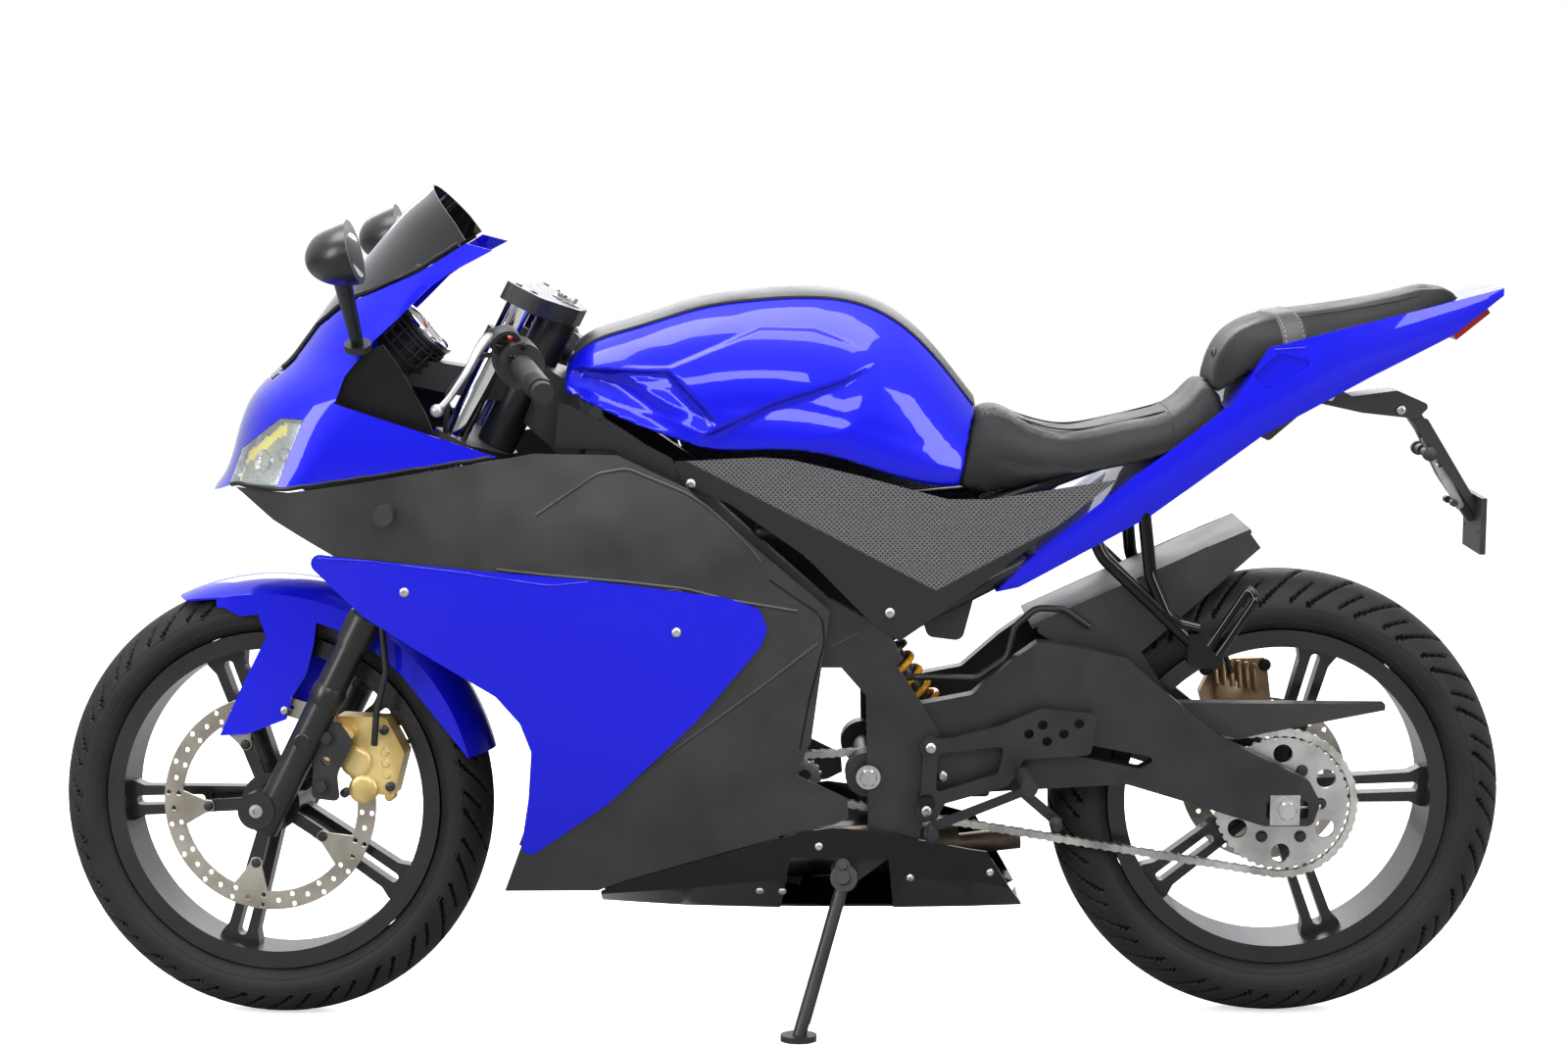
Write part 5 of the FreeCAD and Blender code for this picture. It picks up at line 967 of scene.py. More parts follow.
bm = bmesh.new()
link_count = 2 * round(chain_path(0)[1] / PITCH_MM / 2)
pins = [chain_path(i / link_count)[0] for i in range(link_count)]
for i, pin in enumerate(pins):
    end = pins[(i + 1) % link_count]
    for side in (1, -1):
        gap = OUTER_GAP if i % 2 else INNER_GAP
        link_plate(bm, pin, end, CHAIN_Y + side * gap, PLATE_THICKNESS, PLATE_RADIUS)
    lathe(bm, (pin.x, CHAIN_Y - ROLLER_WIDTH / 2, pin.z), (0, 1, 0), [(ROLLER, 0), (ROLLER, ROLLER_WIDTH)], 10)
    lathe(bm, (pin.x, CHAIN_Y - PIN_LENGTH / 2, pin.z), (0, 1, 0),
          [(0, 0), (PIN, 0), (PIN, PIN_LENGTH), (0, PIN_LENGTH)], 8)
from_bmesh("chain_links", bm, CHAIN_STEEL, "root", 35.0, ("chain",))
print("links:", link_count)

# %% [markdown]
# A floating brake disc is a drilled band that hangs on five arms of the wheel by round bobbins, so that it can
# grow when it gets hot. The holes let water and gas escape from under the pads. The band, its five tabs and its
# holes are one sheet outline. The holes alternate between two near the edges and one in the middle, as they do
# on the real one so that each part of the pad is swept.

# %% Brake discs
CARRIER_PHASE = math.radians(22.6)
ARMS, DISC_HALF, HOLE_RADIUS = 5, 2.0, 3.3
FRONT_BOBBINS, REAR_BOBBINS = 85.0, 63.0


def wheel_point(centre, radius, angle):
    """Point in the wheel's plane at an angle from straight up, turning forward."""
    return (centre.x + radius * math.sin(angle), centre.z + radius * math.cos(angle))


def drilled_disc(name, centre, outer, inner, bolt_radius, y, columns, body, replaces):
    """Disc band with three-sided tabs inside it and rows of drilled holes."""
    outline = [wheel_point(centre, outer, 2 * math.pi * i / 96) for i in range(96)]
    inside = []
    for tab in range(ARMS):
        at = CARRIER_PHASE + 2 * math.pi * tab / ARMS
        spread = math.radians(11)
        inside.append(wheel_point(centre, inner, at - spread))
        inside.append(wheel_point(centre, bolt_radius + 5, at - 8.5 / bolt_radius))
        inside += [wheel_point(centre, bolt_radius - 8 * math.cos(k), at + 9 * math.sin(k) / bolt_radius)
                   for k in (-1.0, -0.5, 0.0, 0.5, 1.0)]
        inside.append(wheel_point(centre, bolt_radius + 5, at + 8.5 / bolt_radius))
        inside += [wheel_point(centre, inner, at + spread + (2 * math.pi / ARMS - 2 * spread) * k / 8)
                   for k in range(8)]
    holes = [inside]
    for i in range(columns):
        at = 2 * math.pi * (i + 0.5) / columns
        depths = (0.24, 0.78) if i % 2 else (0.5,)
        for share in depths:
            x, z = wheel_point(centre, inner + share * (outer - inner), at)
            holes.append(circle(x, z, HOLE_RADIUS, 12))
    plate(name, outline, y - DISC_HALF, y + DISC_HALF, DISC_STEEL, body, holes, 0.4, replaces)


drilled_disc("front_brake_disc", FRONT_AXLE, 146.0, 121.0, FRONT_BOBBINS, 51.0, 40, "front_wheel", ("front_disc",))
drilled_disc("rear_brake_disc", REAR_AXLE, 115.0, 85.0, REAR_BOBBINS, -72.0, 32, "rear_wheel", ("rear_disc",))

# %% [markdown]
# Each bobbin shows as a button head in its tab. The rear disc is bolted on in the same way, and six nuts hold
# the sprocket on the other side of the hub. All of them turn with their wheel.

# %% Bobbins, sprocket nuts and valves
bm = bmesh.new()
for tab in range(ARMS):
    at = CARRIER_PHASE + 2 * math.pi * tab / ARMS
    x, z = wheel_point(FRONT_AXLE, FRONT_BOBBINS, at)
    button_head(bm, (x, 53, z), (0, 1, 0), 6.5)
    lathe(bm, (x, 53, z), (0, 1, 0), [(2.6, 0), (2.6, 4.2), (0, 4.2)], 12)
from_bmesh("front_disc_bolts", bm, FRAME_BLACK, "front_wheel")
bm = bmesh.new()
for tab in range(ARMS):
    x, z = wheel_point(REAR_AXLE, REAR_BOBBINS, CARRIER_PHASE + 2 * math.pi * tab / ARMS)
    button_head(bm, (x, -74, z), (0, -1, 0), 6.5)
for i in range(6):
    x, z = wheel_point(REAR_AXLE, 52, 2 * math.pi * (i + 0.5) / 6)
    hexagon_head(bm, (x, 82.3, z), (0, 1, 0), 6.0)
from_bmesh("sprocket_nuts", bm, FRAME_BLACK, "rear_wheel")

for name, body, centre, at in (("front_valve", "front_wheel", FRONT_AXLE, math.radians(-66)),
                               ("rear_valve", "rear_wheel", REAR_AXLE, math.radians(20))):
    bm = bmesh.new()
    x, z = wheel_point(centre, 208, at)
    inward = Vector((centre.x - x, 0, centre.z - z)).normalized()
    lathe(bm, Vector((x, 6, z)), inward, [(5, -2), (5, 4), (3.4, 8), (3.4, 24), (4.2, 25), (4.2, 34), (0, 35)], 14)
    from_bmesh(name, bm, RUBBER, body)

# %% [markdown]
# A brake caliper is a casting with a round cap over each piston, ribs between them and two bolts that hold it
# to the fork leg. The CAD model has the body. The caps and ribs are lathe forms that start inside the body and
# stand a few millimetres proud, as on a real casting, and the bracket is a sheet part.

# %% Front caliper
caliper_tree = search_tree("front_caliper")
caliper_face = on_side(caliper_tree, 1222, 350)[0].y
lug_hits = [on_side(caliper_tree, x, z) for x, z in ((1222, 350), (1256, 396), (1240, 400))]
lug_face = max(found[0].y for found in lug_hits if found)
bm = bmesh.new()
for x, z, reach in ((1231, 359, 21.0), (1221, 322, 19.5)):
    lathe(bm, (x, caliper_face, z), (0, 1, 0),
          [(reach, -14), (reach, 3.4), (reach - 2.4, 5.6), (reach - 7, 6.6), (0, 6.8)], 32)
for i in range(5):
    lathe(bm, (1186 + 1.5 * i, caliper_face - 9, 312 + 15 * i), (0, 1, 0),
          [(6.5, -14), (6.5, 9), (4.5, 11), (0, 11)], 14)
lathe(bm, (1238, caliper_face, 397), (0, 1, 0), [(11, -12), (11, 3), (5, 3.4), (5, -2), (0, -2)], 24)
from_bmesh("caliper_pots", bm, GOLD, "steering", 42.0)
bracket_corners = [(1290, 413), (1248, 416), (1228, 388), (1252, 344), (1248, 308), (1286, 312), (1282, 366)]
plate("caliper_bracket", rounded(bracket_corners, 9),
      lug_face - 5, lug_face + 2.4, FRAME_BLACK, "steering", [circle(1266, 362, 6)])
bm = bmesh.new()
for x, z in ((1264, 394), (1272, 328)):
    hexagon_head(bm, (x, lug_face + 2.4, z), (0, 1, 0), 9.5)
for x, z in ((1192, 402), (1184, 326), (1246, 316)):
    lathe(bm, (x, caliper_face - 2, z), (0, 1, 0), [(6.5, -6), (6.5, 6), (4, 7.5), (0, 7.5)], 16)
from_bmesh("caliper_bolts", bm, FRAME_BLACK, "steering")

# %% [markdown]
# The fork legs carry the small turned parts that show where they are joined: the axle's socket at the bottom, a
# boss above it, and the rubber dust seal where the chrome tube slides in.

# %% Fork details
AXLE_END_Y, FORK_SPREAD = 119.6, 95
bm = bmesh.new()
for side in (1, -1):
    lathe(bm, (FRONT_AXLE.x, side * AXLE_END_Y, FRONT_AXLE.z), (0, side, 0),
          [(9, -3), (9, 1.0), (4.6, 1.6), (4.6, -2), (0, -2)], 24, {2: 6, 3: 6})
from_bmesh("front_axle_ends", bm, BOLT_STEEL, "steering")
bm = bmesh.new()
for side in (1, -1):
    centre = fork_point(390, side * FORK_SPREAD)
    lathe(bm, centre + Vector((0, side * 19, 0)), (0, side, 0),
          [(11, -4), (11, 2.2), (9.4, 2.8), (9.2, 2.0), (0, 2.0)], 28)
    seal = fork_point(556, side * FORK_SPREAD)
    lathe(bm, seal, STEER_UP, [(22.5, -8), (22.5, 1), (20, 4), (17.2, 5)], 36)
    low = fork_point(452, side * FORK_SPREAD)
    lathe(bm, low, STEER_UP, [(21.2, -16), (23.4, -10), (23.4, 6), (21.2, 12)], 36)
from_bmesh("fork_details", bm, FORK_BLACK, "steering")

# %% [markdown]
# The rear caliper slides on two pins. Its body is ribbed to shed heat, and the sheet adjuster behind the axle
# nut lets the wheel move back as the chain wears.

# %% Rear caliper and axle
bm = bmesh.new()
for i in range(6):
    x = 14 + 11 * i
    lathe(bm, (x, -58, 436 + 2 * i), (0.12, 0, 1), [(0, -2), (4.2, -2), (4.2, 34), (2.5, 36), (0, 36)], 10)
lathe(bm, (52, -69, 432), (0, 1, 0), [(19, 0), (19, 10), (16, 12), (0, 12)], 28)
from_bmesh("rear_caliper_ribs", bm, BRONZE, "root", 42.0)
bm = bmesh.new()
for x, z in ((2, 468), (84, 462)):
    hexagon_head(bm, (x, -66, z), (0, 1, 0), 6.5)
    lathe(bm, (x, -80, z), (0, 1, 0), [(4, 0), (4, 14)], 12)
from_bmesh("rear_caliper_pins", bm, FRAME_BLACK, "root")

plate("axle_adjuster", [(22, 327), (-18, 327), (-18, 286), (22, 286)], 115.2, 119.5, BOLT_STEEL, "root",
      [circle(0, REAR_AXLE.z, 9)], 0.8, mirror=True)
bm = bmesh.new()
for side in (1, -1):
    hexagon_head(bm, (0, side * AXLE_END_Y, REAR_AXLE.z), (0, side, 0), 13.0)
    lathe(bm, (0, side * 126, REAR_AXLE.z), (0, side, 0), [(7.6, 0), (7.6, 2.6), (0, 3.0)], 18)
    lathe(bm, (-34, side * 102, REAR_AXLE.z), (-1, 0, 0), [(3.4, -20), (3.4, 14), (0, 14)], 12)
from_bmesh("rear_axle_nuts", bm, BOLT_STEEL, "root")

# %% [markdown]
# Plastic panels are held by short button screws, and the frame by large hexagon bolts. They are small, but
# their bright dots are the first thing that makes a plain panel look mounted. Each list below gives places in
# the side view for one panel, and the ray finds the depth on both sides of the bike.

# %% Screws and bolts
side_bolts("panel_screws", [(1159, 611), (809, 556), (941, 284)], ("side_panels",), 6.5, BOLT_STEEL, "root")
side_bolts("belly_screws", [(622, 262), (744, 262), (670, 195), (700, 196), (500, 216), (392, 218)],
           ("belly_pan",), 5.5, BOLT_STEEL, "root")
side_bolts("cover_screws", [(791, 744), (530, 574)], ("side_covers",), 7.0, BOLT_STEEL, "root")
side_bolts("frame_bolts", [(557, 354)], ("frame",), 12.0, BOLT_STEEL, "root", hexagon_head)
side_bolts("hanger_bolts", [(475, 395), (480, 310), (458, 352)], ("footrests", "swingarm"), 7.5, BOLT_STEEL, "root")
side_bolts("mudguard_screws", [(1330, 424)], ("front_mudguard",), 6.0, BOLT_STEEL, "steering")
side_bolts("screen_screws", [(1310, 905), (1236, 984), (1142, 1024)], ("windscreen", "upper_fairing"), 5.0, FRAME_BLACK,
           "root")
side_bolts("bracket_screws", [(-156, 832), (-60, 850)], ("plate_bracket",), 7.0, BOLT_STEEL, "root")

# %% [markdown]
# A seat is foam on a stiff board, with vinyl stretched over it. The cover pulls the foam in at the edges and
# seams and lets it swell between them. The CAD form is only a plain solid. It is remeshed into an even grid and
# shrunk a little, and then a short cloth run with air pressure swells it, while the underside is held by its
# board. The swell is capped, so that the pad stays within the seat's real size.

# %% Even grids from CAD forms
def shown_mesh(obj):
    """Mesh of an object with its modifiers worked in."""
    return bpy.data.meshes.new_from_object(obj.evaluated_get(bpy.context.evaluated_depsgraph_get()))


def smoothed(obj, factor, rounds):
    """Smoothing modifier."""
    smooth = obj.modifiers.new("smooth", "SMOOTH")
    smooth.factor, smooth.iterations = factor, rounds


def work_in(obj):
    """Modifiers of an object made part of its mesh."""
    obj.data = shown_mesh(obj)
    obj.modifiers.clear()


def copy_of(node, name):
    """Object with a copy of a CAD node's mesh."""
    obj = bpy.data.objects.new(name, nodes[node].data.copy())
    bpy.context.scene.collection.objects.link(obj)
    return obj


def even_grid(obj, voxel_mm, rounds, shrink_mm):
    """Remeshed, smoothed and slightly shrunk form."""
    remesh = obj.modifiers.new("remesh", "REMESH")
    remesh.mode, remesh.voxel_size = "VOXEL", voxel_mm * MM
    smoothed(obj, 0.5, rounds)
    inset = obj.modifiers.new("inset", "DISPLACE")
    inset.mid_level, inset.strength = 0, -shrink_mm * MM
    work_in(obj)


def places_of(mesh):
    """Vertex places of a mesh, as rows."""
    flat = np.empty(len(mesh.vertices) * 3)
    mesh.vertices.foreach_get("co", flat)
    return flat.reshape(-1, 3)


def stand_in(obj, node):
    """Piece that stands for a CAD node on the bike's fixed body."""
    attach(obj, "root")
    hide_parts(node)
    print(obj.name, "for", node, "with", len(obj.data.polygons), "faces")


# %% [markdown]
# The pad itself follows. The vertices whose faces look down belong to the board and are held, gravity is off,
# and only the pressure works, for 20 steps. How far each vertex moved is then limited before it is used, and a
# last subdivision makes the surface fine enough for close views.

# %% Swollen pads
CLOTH_STEPS, PAD_FILL = 20, 0.9


def padded(name, node, voxel_mm, shrink_mm, cap_mm):
    """Seat pad swollen by a short cloth run, by cap_mm at most."""
    obj = copy_of(node, name)
    weld(obj, 0.02)
    even_grid(obj, voxel_mm, 3, shrink_mm)
    start = places_of(obj.data)
    pins = obj.vertex_groups.new(name="held")
    held = [v.index for v in obj.data.vertices if v.normal.z < -0.35]
    pins.add(held, 1.0, "REPLACE")
    cloth = obj.modifiers.new("cloth", "CLOTH")
    cloth.settings.vertex_group_mass = "held"
    cloth.settings.use_pressure = True
    cloth.settings.uniform_pressure_force = 4
    cloth.settings.effector_weights.gravity = 0
    cloth.settings.quality = 4
    scene = bpy.context.scene
    for step in range(1, CLOTH_STEPS + 1):
        scene.frame_set(step)
    moved = shown_mesh(obj)
    shift = places_of(moved) - start
    length = np.linalg.norm(shift, axis=1, keepdims=True)
    shift = shift * np.minimum(1.0, cap_mm * MM / np.maximum(length, 1e-9))
    obj.modifiers.clear()
    obj.data.vertices.foreach_set("co", (start + shift).ravel())
    scene.frame_set(1)
    bpy.data.meshes.remove(moved)
    smoothed(obj, 0.5, 4)
    fine = obj.modifiers.new("fine", "SUBSURF")
    fine.levels = fine.render_levels = 1
    work_in(obj)
    coat(obj.data, VINYL)
    stand_in(obj, node)
    return obj


def pad_tree(obj):
    """Search tree over a pad, in bike millimetres."""
    back = TO_WORLD["root"].inverted()
    faces = [tuple(p.vertices) for p in obj.data.polygons]
    return BVHTree.FromPolygons([back @ v.co for v in obj.data.vertices], faces)


rider_pad = padded("rider_seat_pad", "rider_seat", 5.0, 2.0, 3.0)
pillion_pad = padded("pillion_seat_pad", "pillion_seat", 4.0, 1.2, 1.8)
rider_tree, pillion_tree = pad_tree(rider_pad), pad_tree(pillion_pad)

# %% [markdown]
# Seat covers are sewn from panels. At each seam the edge is rolled over a cord, which shows as piping, and a
# row of stitches runs beside it. Both have to lie on the swollen pad, so their points are dropped onto it by
# rays, from the side or from above, and a thin tube or separate short stitches follow them.

# %% Seams and stitches
def seam_points(tree, points, lift):
    """Points of a seam, dropped sideways or from above onto the pad. Each is (x, y, z) and a direction."""
    found = []
    for place, toward in points:
        hit = tree.ray_cast(Vector(place), Vector(toward))
        if hit[0] is not None:
            found.append(hit[0] - Vector(toward).normalized() * lift)
    return found


def piping(name, tree, points, radius):
    """Rolled edge along a seam."""
    tube(name, seam_points(tree, points, -0.3 * radius), radius, VINYL, "root")


# Sewing thread, dyed to match: matt twisted polyester that shows as a fine dotted line
DARK_THREAD = finish_of("black_thread", "101011", "1C1C1D", (0.6, 0.75), grain_mm=0.4, depth_mm=0.05)
STITCH_STEP, STITCH_LENGTH, STITCH_RADIUS = 5.5, 3.6, 0.5


def stitches(name, tree, points):
    """Separate stitches along a seam."""
    route = seam_points(tree, points, 0.2)
    bm = bmesh.new()
    total = 0.0
    for a, b in zip(route, route[1:]):
        run = (b - a).length
        while total < run:
            place = a.lerp(b, total / run)
            along = (b - a).normalized()
            profile = [(0, 0), (STITCH_RADIUS, 0.5), (STITCH_RADIUS, STITCH_LENGTH - 0.5), (0, STITCH_LENGTH)]
            lathe(bm, place, along, profile, 6)
            total += STITCH_STEP
        total -= run
    from_bmesh(name, bm, DARK_THREAD, "root", 60.0)


for side, tag in ((1, "near"), (-1, "far")):
    inward = (0, -side, 0)
    hoop = [((168 - 10 * math.sin(t / 8 * math.pi), side * 300, 782 + 8.2 * t), inward) for t in range(9)]
    piping("rider_seam_" + tag, rider_tree, hoop, 1.3)
    stitches("rider_stitches_" + tag, rider_tree, [((x - 6, y, z), d) for (x, y, z), d in hoop])
over = [((158, 96 - 12 * t, 1000), (0, 0, -1)) for t in range(17)]
piping("rider_seam_top", rider_tree, over, 1.3)
for side, tag in ((1, "near"), (-1, "far")):
    ridge = [((390 - 38 * t, side * (34 + 2.2 * t), 1000), (0, 0, -1)) for t in range(7)]
    piping("rider_ridge_" + tag, rider_tree, ridge, 1.2)
    edge = [((74 - 22 * t, side * (56 + 1.2 * t - 0.16 * t * t), 1100), (0, 0, -1)) for t in range(12)]
    piping("pillion_edge_" + tag, pillion_tree, edge, 1.2)

# %% [markdown]
# A strap for the passenger's hand lies across the pillion seat. It is drawn as rays in a fan from under the
# seat's middle line: each row of rays gives one line across the strap, which then sits on the pad whatever its
# form.

# %% Pillion strap
# Strap vinyl over webbing: greyer and duller than the seat
STRAP = finish_of("strap_vinyl", "232325", "303033", (0.5, 0.62), grain_mm=1.0, depth_mm=0.08)
# Grey sewing thread along the strap's edges, so that the rows of stitches show
THREAD = finish_of("grey_thread", "8A8A88", "B4B4B0", (0.6, 0.75), grain_mm=0.4, depth_mm=0.05)
STRAP_STITCH = 4.5


def strap(name, tree, middle_x, lean_x, low_z, half_width, thick):
    """Band laid over the pillion pad from side to side."""
    rows = []
    for i in range(41):
        turn_by = math.pi * (i / 40)
        toward = Vector((0, -math.cos(turn_by), -math.sin(turn_by)))
        row = []
        for k in range(9):
            across = half_width * (k / 4 - 1)
            start = Vector((middle_x + across, 0, low_z)) - toward * 260
            start.x -= lean_x * abs(math.cos(turn_by))
            hit = tree.ray_cast(start, toward)
            lift = thick if 0 < k < 8 else 0.2
            row.append(hit[0] - toward * lift if hit[0] is not None else None)
        if all(row):
            rows.append(row)
    bm = bmesh.new()
    grid = [[bm.verts.new(p) for p in row] for row in rows]
    for a, b in zip(grid, grid[1:]):
        for k in range(8):
            bm.faces.new((a[k], a[k + 1], b[k + 1], b[k]))
    from_bmesh(name, bm, STRAP, "root", 0)
    bm = bmesh.new()
    for k in (1, 7):
        line = [row[k] for row in rows]
        for a, b in zip(line, line[1:]):
            run = (b - a).length
            if run < 0.5:
                continue
            for t in range(max(1, int(run / STRAP_STITCH))):
                place = a.lerp(b, (t + 0.2) * STRAP_STITCH / run)
                lathe(bm, place, (b - a).normalized(), [(0, 0), (0.55, 0.4), (0.55, 2.6), (0, 3.0)], 6)
    from_bmesh(name + "_stitches", bm, THREAD, "root", 60.0)


strap("pillion_strap", pillion_tree, 24, 26, 905, 16.0, 2.2)
bm = bmesh.new()
hit = pillion_tree.ray_cast(Vector((300, 22, 905)), Vector((-1, 0, 0)))
if hit[0] is not None:
    lathe(bm, hit[0], (1, 0, 0), [(9, -2), (9, 1.2), (6.6, 1.6), (6.6, -1), (0, -1)], 24)
from_bmesh("seat_lock", bm, MOULDED_BLACK, "root")

# %% [markdown]
# The tank is pressed from sheet, and the press leaves soft steps: a scoop on each side, a recess for the knee
# and a shoulder line above them. Sculpting could make them, but then nothing would say where they are. Here
# each step is a line in the side view and a depth that ramps up below it. The CAD tank is remeshed finely
# enough to carry them, and its sides are pushed in by that depth.

# %% Pressed lines of the tank
def ramp(value, start, end):
    """Share from 0 to 1 between two values."""
    return np.clip((value - start) / (end - start), 0.0, 1.0)


def below(x, z, line):
    """How far a place lies below a line in the side view."""
    points = sorted(line)
    return np.interp(x, [p[0] for p in points], [p[1] for p in points]) - z


SCOOP_TOP = [(960, 884), (940, 893), (821, 893), (759, 828)]
SCOOP_LOW = [(960, 866), (925, 866), (836, 832), (772, 810), (759, 815)]
SCOOP_DEPTH, KNEE_DEPTH, SHOULDER_DEPTH = 9.5, 8.0, 3.6
KNEE_LINE = [(780, 806), (759, 815), (681, 852), (595, 879), (545, 905)]
SHOULDER_LINE = [(880, 893), (821, 893), (700, 943), (630, 941), (560, 915)]


def pressed_depth(x, z):
    """Depth in millimetres that the tank's sides are pressed in."""
    over, under = below(x, z, SCOOP_TOP), -below(x, z, SCOOP_LOW)
    share = over / np.maximum(over + under, 1e-6)
    within = (over > 0) & (under > 0)
    scoop = np.where(within, ramp(share, 0.0, 0.14) * (1 - ramp(share, 0.45, 1.0)), 0.0)
    scoop = scoop * ramp(x, 757, 775) * (1 - ramp(x, 938, 958)) * SCOOP_DEPTH
    down = below(x, z, KNEE_LINE)
    knee = ramp(down, 0.0, 5.0) * (1 - ramp(down, 12.0, 66.0)) * ramp(x, 545, 590) * (1 - ramp(x, 762, 782))
    rise = -below(x, z, SHOULDER_LINE)
    shoulder = ramp(rise, 0.0, 3.0) * (1 - ramp(rise, 6.0, 30.0)) * ramp(x, 560, 610) * (1 - ramp(x, 860, 885))
    return np.maximum(np.maximum(scoop, knee * KNEE_DEPTH), shoulder * SHOULDER_DEPTH)


TANK_GRID, TANK_SHRINK = 3.2, 0.6
tank = copy_of("tank", "tank_shell")
even_grid(tank, TANK_GRID, 5, TANK_SHRINK)
tank.data.transform(TO_WORLD["root"].inverted())
co = places_of(tank.data)
depth = pressed_depth(co[:, 0], co[:, 2]) * ramp(np.abs(co[:, 1]), 45.0, 80.0)
co[:, 1] -= np.sign(co[:, 1]) * depth
tank.data.vertices.foreach_set("co", co.ravel())
smoothed(tank, 0.4, 1)
work_in(tank)
tank.data.transform(TO_WORLD["root"])
coat(tank.data, BLUE)
stand_in(tank, "tank")
print("deepest press line:", round(float(depth.max()), 1), "mm")

# %% [markdown]
# The hugger is a mudguard close to the rear tyre, and its rear end is flatter than the CAD form's. Moving the
# CAD vertices by a simple rule keeps all of its edges and holes, so nothing has to be modelled again.

# %% Hugger
TIP_DROP = 30.0


def flatter_tip(p):
    """Place on the hugger, lowered towards its rear upper end."""
    tail = float(ramp(-p.x, -110.0, 80.0))
    crown = float(ramp(p.z, 590.0, 672.0))
    return Vector((p.x, p.y, p.z - TIP_DROP * tail * crown))


hugger = copy_of("hugger", "hugger_shell")
hugger.data.transform(TO_WORLD["root"].inverted())
for v in hugger.data.vertices:
    v.co = flatter_tip(v.co)
hugger.data.transform(TO_WORLD["root"])
coat(hugger.data, MOULDED_BLACK)
weld(hugger)
crisp(hugger)
stand_in(hugger, "hugger")

# %% [markdown]
# Large thin panels are stiffened by ribs and folded edges, and these lines give the fairing its speed. Each is
# a half-round bead along a line in the side view. It is dropped onto the panel by rays every 12 mm and sunk a
# little, so that it grows out of the panel.

# %% Ribs of the fairings
RIB_STEP, RIB_SINK = 12, 0.45


def bead(name, lines, names, radius, mat):
    """Rounded ribs that follow the outside of panels along lines of (x, z) places."""
    tree = search_tree(*names)
    bm = bmesh.new()
    for line in lines:
        for side in (1, -1):
            route = []
            for (ax, az), (bx, bz) in zip(line, line[1:]):
                steps = max(2, int(math.hypot(bx - ax, bz - az) / RIB_STEP))
                for k in range(steps):
                    t = k / steps
                    found = on_side(tree, ax + (bx - ax) * t, az + (bz - az) * t, side)
                    if found:
                        route.append(found[0] - found[1] * radius * RIB_SINK)
            if len(route) > 3:
                bm.from_mesh(tube_mesh(name, route, radius))
    from_bmesh(name, bm, mat, "root", 60.0)


bead("fairing_ribs", [[(1040, 640), (974, 632), (873, 622), (797, 612), (739, 596), (640, 578)],
                      [(873, 597), (809, 612), (797, 604), (866, 594)],
                      [(614, 545), (695, 483), (797, 409), (965, 283)],
                      [(990, 709), (911, 762), (873, 768), (797, 736), (720, 685), (694, 633)]],
     ("middle_fairings",), 2.6, SATIN_BLACK)
bead("fairing_edges", [[(688, 622), (620, 574), (616, 540), (636, 461), (650, 384)], [(646, 366), (592, 328)]],
     ("middle_fairings",), 1.6, GLOSS_BLACK)
bead("panel_ribs", [[(1284, 652), (1200, 650), (1086, 637), (973, 619), (872, 628), (795, 628), (730, 606)]],
     ("side_panels",), 1.8, BLUE)
bead("tail_ribs", [[(120, 868), (67, 895), (29, 918), (-28, 922)], [(440, 640), (335, 721), (246, 793), (170, 850)]],
     ("tail_fairing",), 1.8, BLUE)
bead("frame_seams", [[(606, 527), (560, 552)]], ("frame",), 1.2, FRAME_BLACK)

# %% [markdown]
# A screen and a nose aren't left with bare cut edges: a rubber edging is pushed over them. The lower edge of a
# panel is found by sending rays from the side, a little higher each time, until one meets the panel.

# %% Rubber edgings
EDGE_STEP, EDGE_RISE = 8.0, 1.5


def low_edge(tree, x_first, x_last, z_low, z_high, side):
    """Points along the lower edge of a panel, found from the side."""
    route = []
    for i in range(int(abs(x_last - x_first) / EDGE_STEP) + 1):
        x = x_first + math.copysign(EDGE_STEP * i, x_last - x_first)
        z = z_low
        while z < z_high:
            found = on_side(tree, x, z, side)
            if found:
                route.append(found[0])
                break
            z += EDGE_RISE
    return route


screen_tree = search_tree("windscreen")
bm = bmesh.new()
for side in (1, -1):
    bm.from_mesh(tube_mesh("edging", low_edge(screen_tree, 1330, 1084, 872, 1075, side), 3.6))
from_bmesh("screen_edging", bm, TRIM_BLACK, "root", 60.0)

nose_tree = search_tree("upper_fairing", "headlights")
bm = bmesh.new()
for side in (1, -1):
    route = low_edge(nose_tree, 1392, 1046, 722, 800, side)
    bm.from_mesh(tube_mesh("seal", [p - Vector((0, side * 1.6, 0)) for p in route], 3.2))
from_bmesh("nose_seal", bm, TRIM_BLACK, "root", 60.0)

# %% [markdown]
# A hand lever is a cast blade that tapers to a ball, which keeps it from hurting anyone. The blade is a tube
# with a size at each control point, and the ball a lathe form. They stand for the CAD levers, which are
# plainer. A clamp with a bolt holds each on the bar.

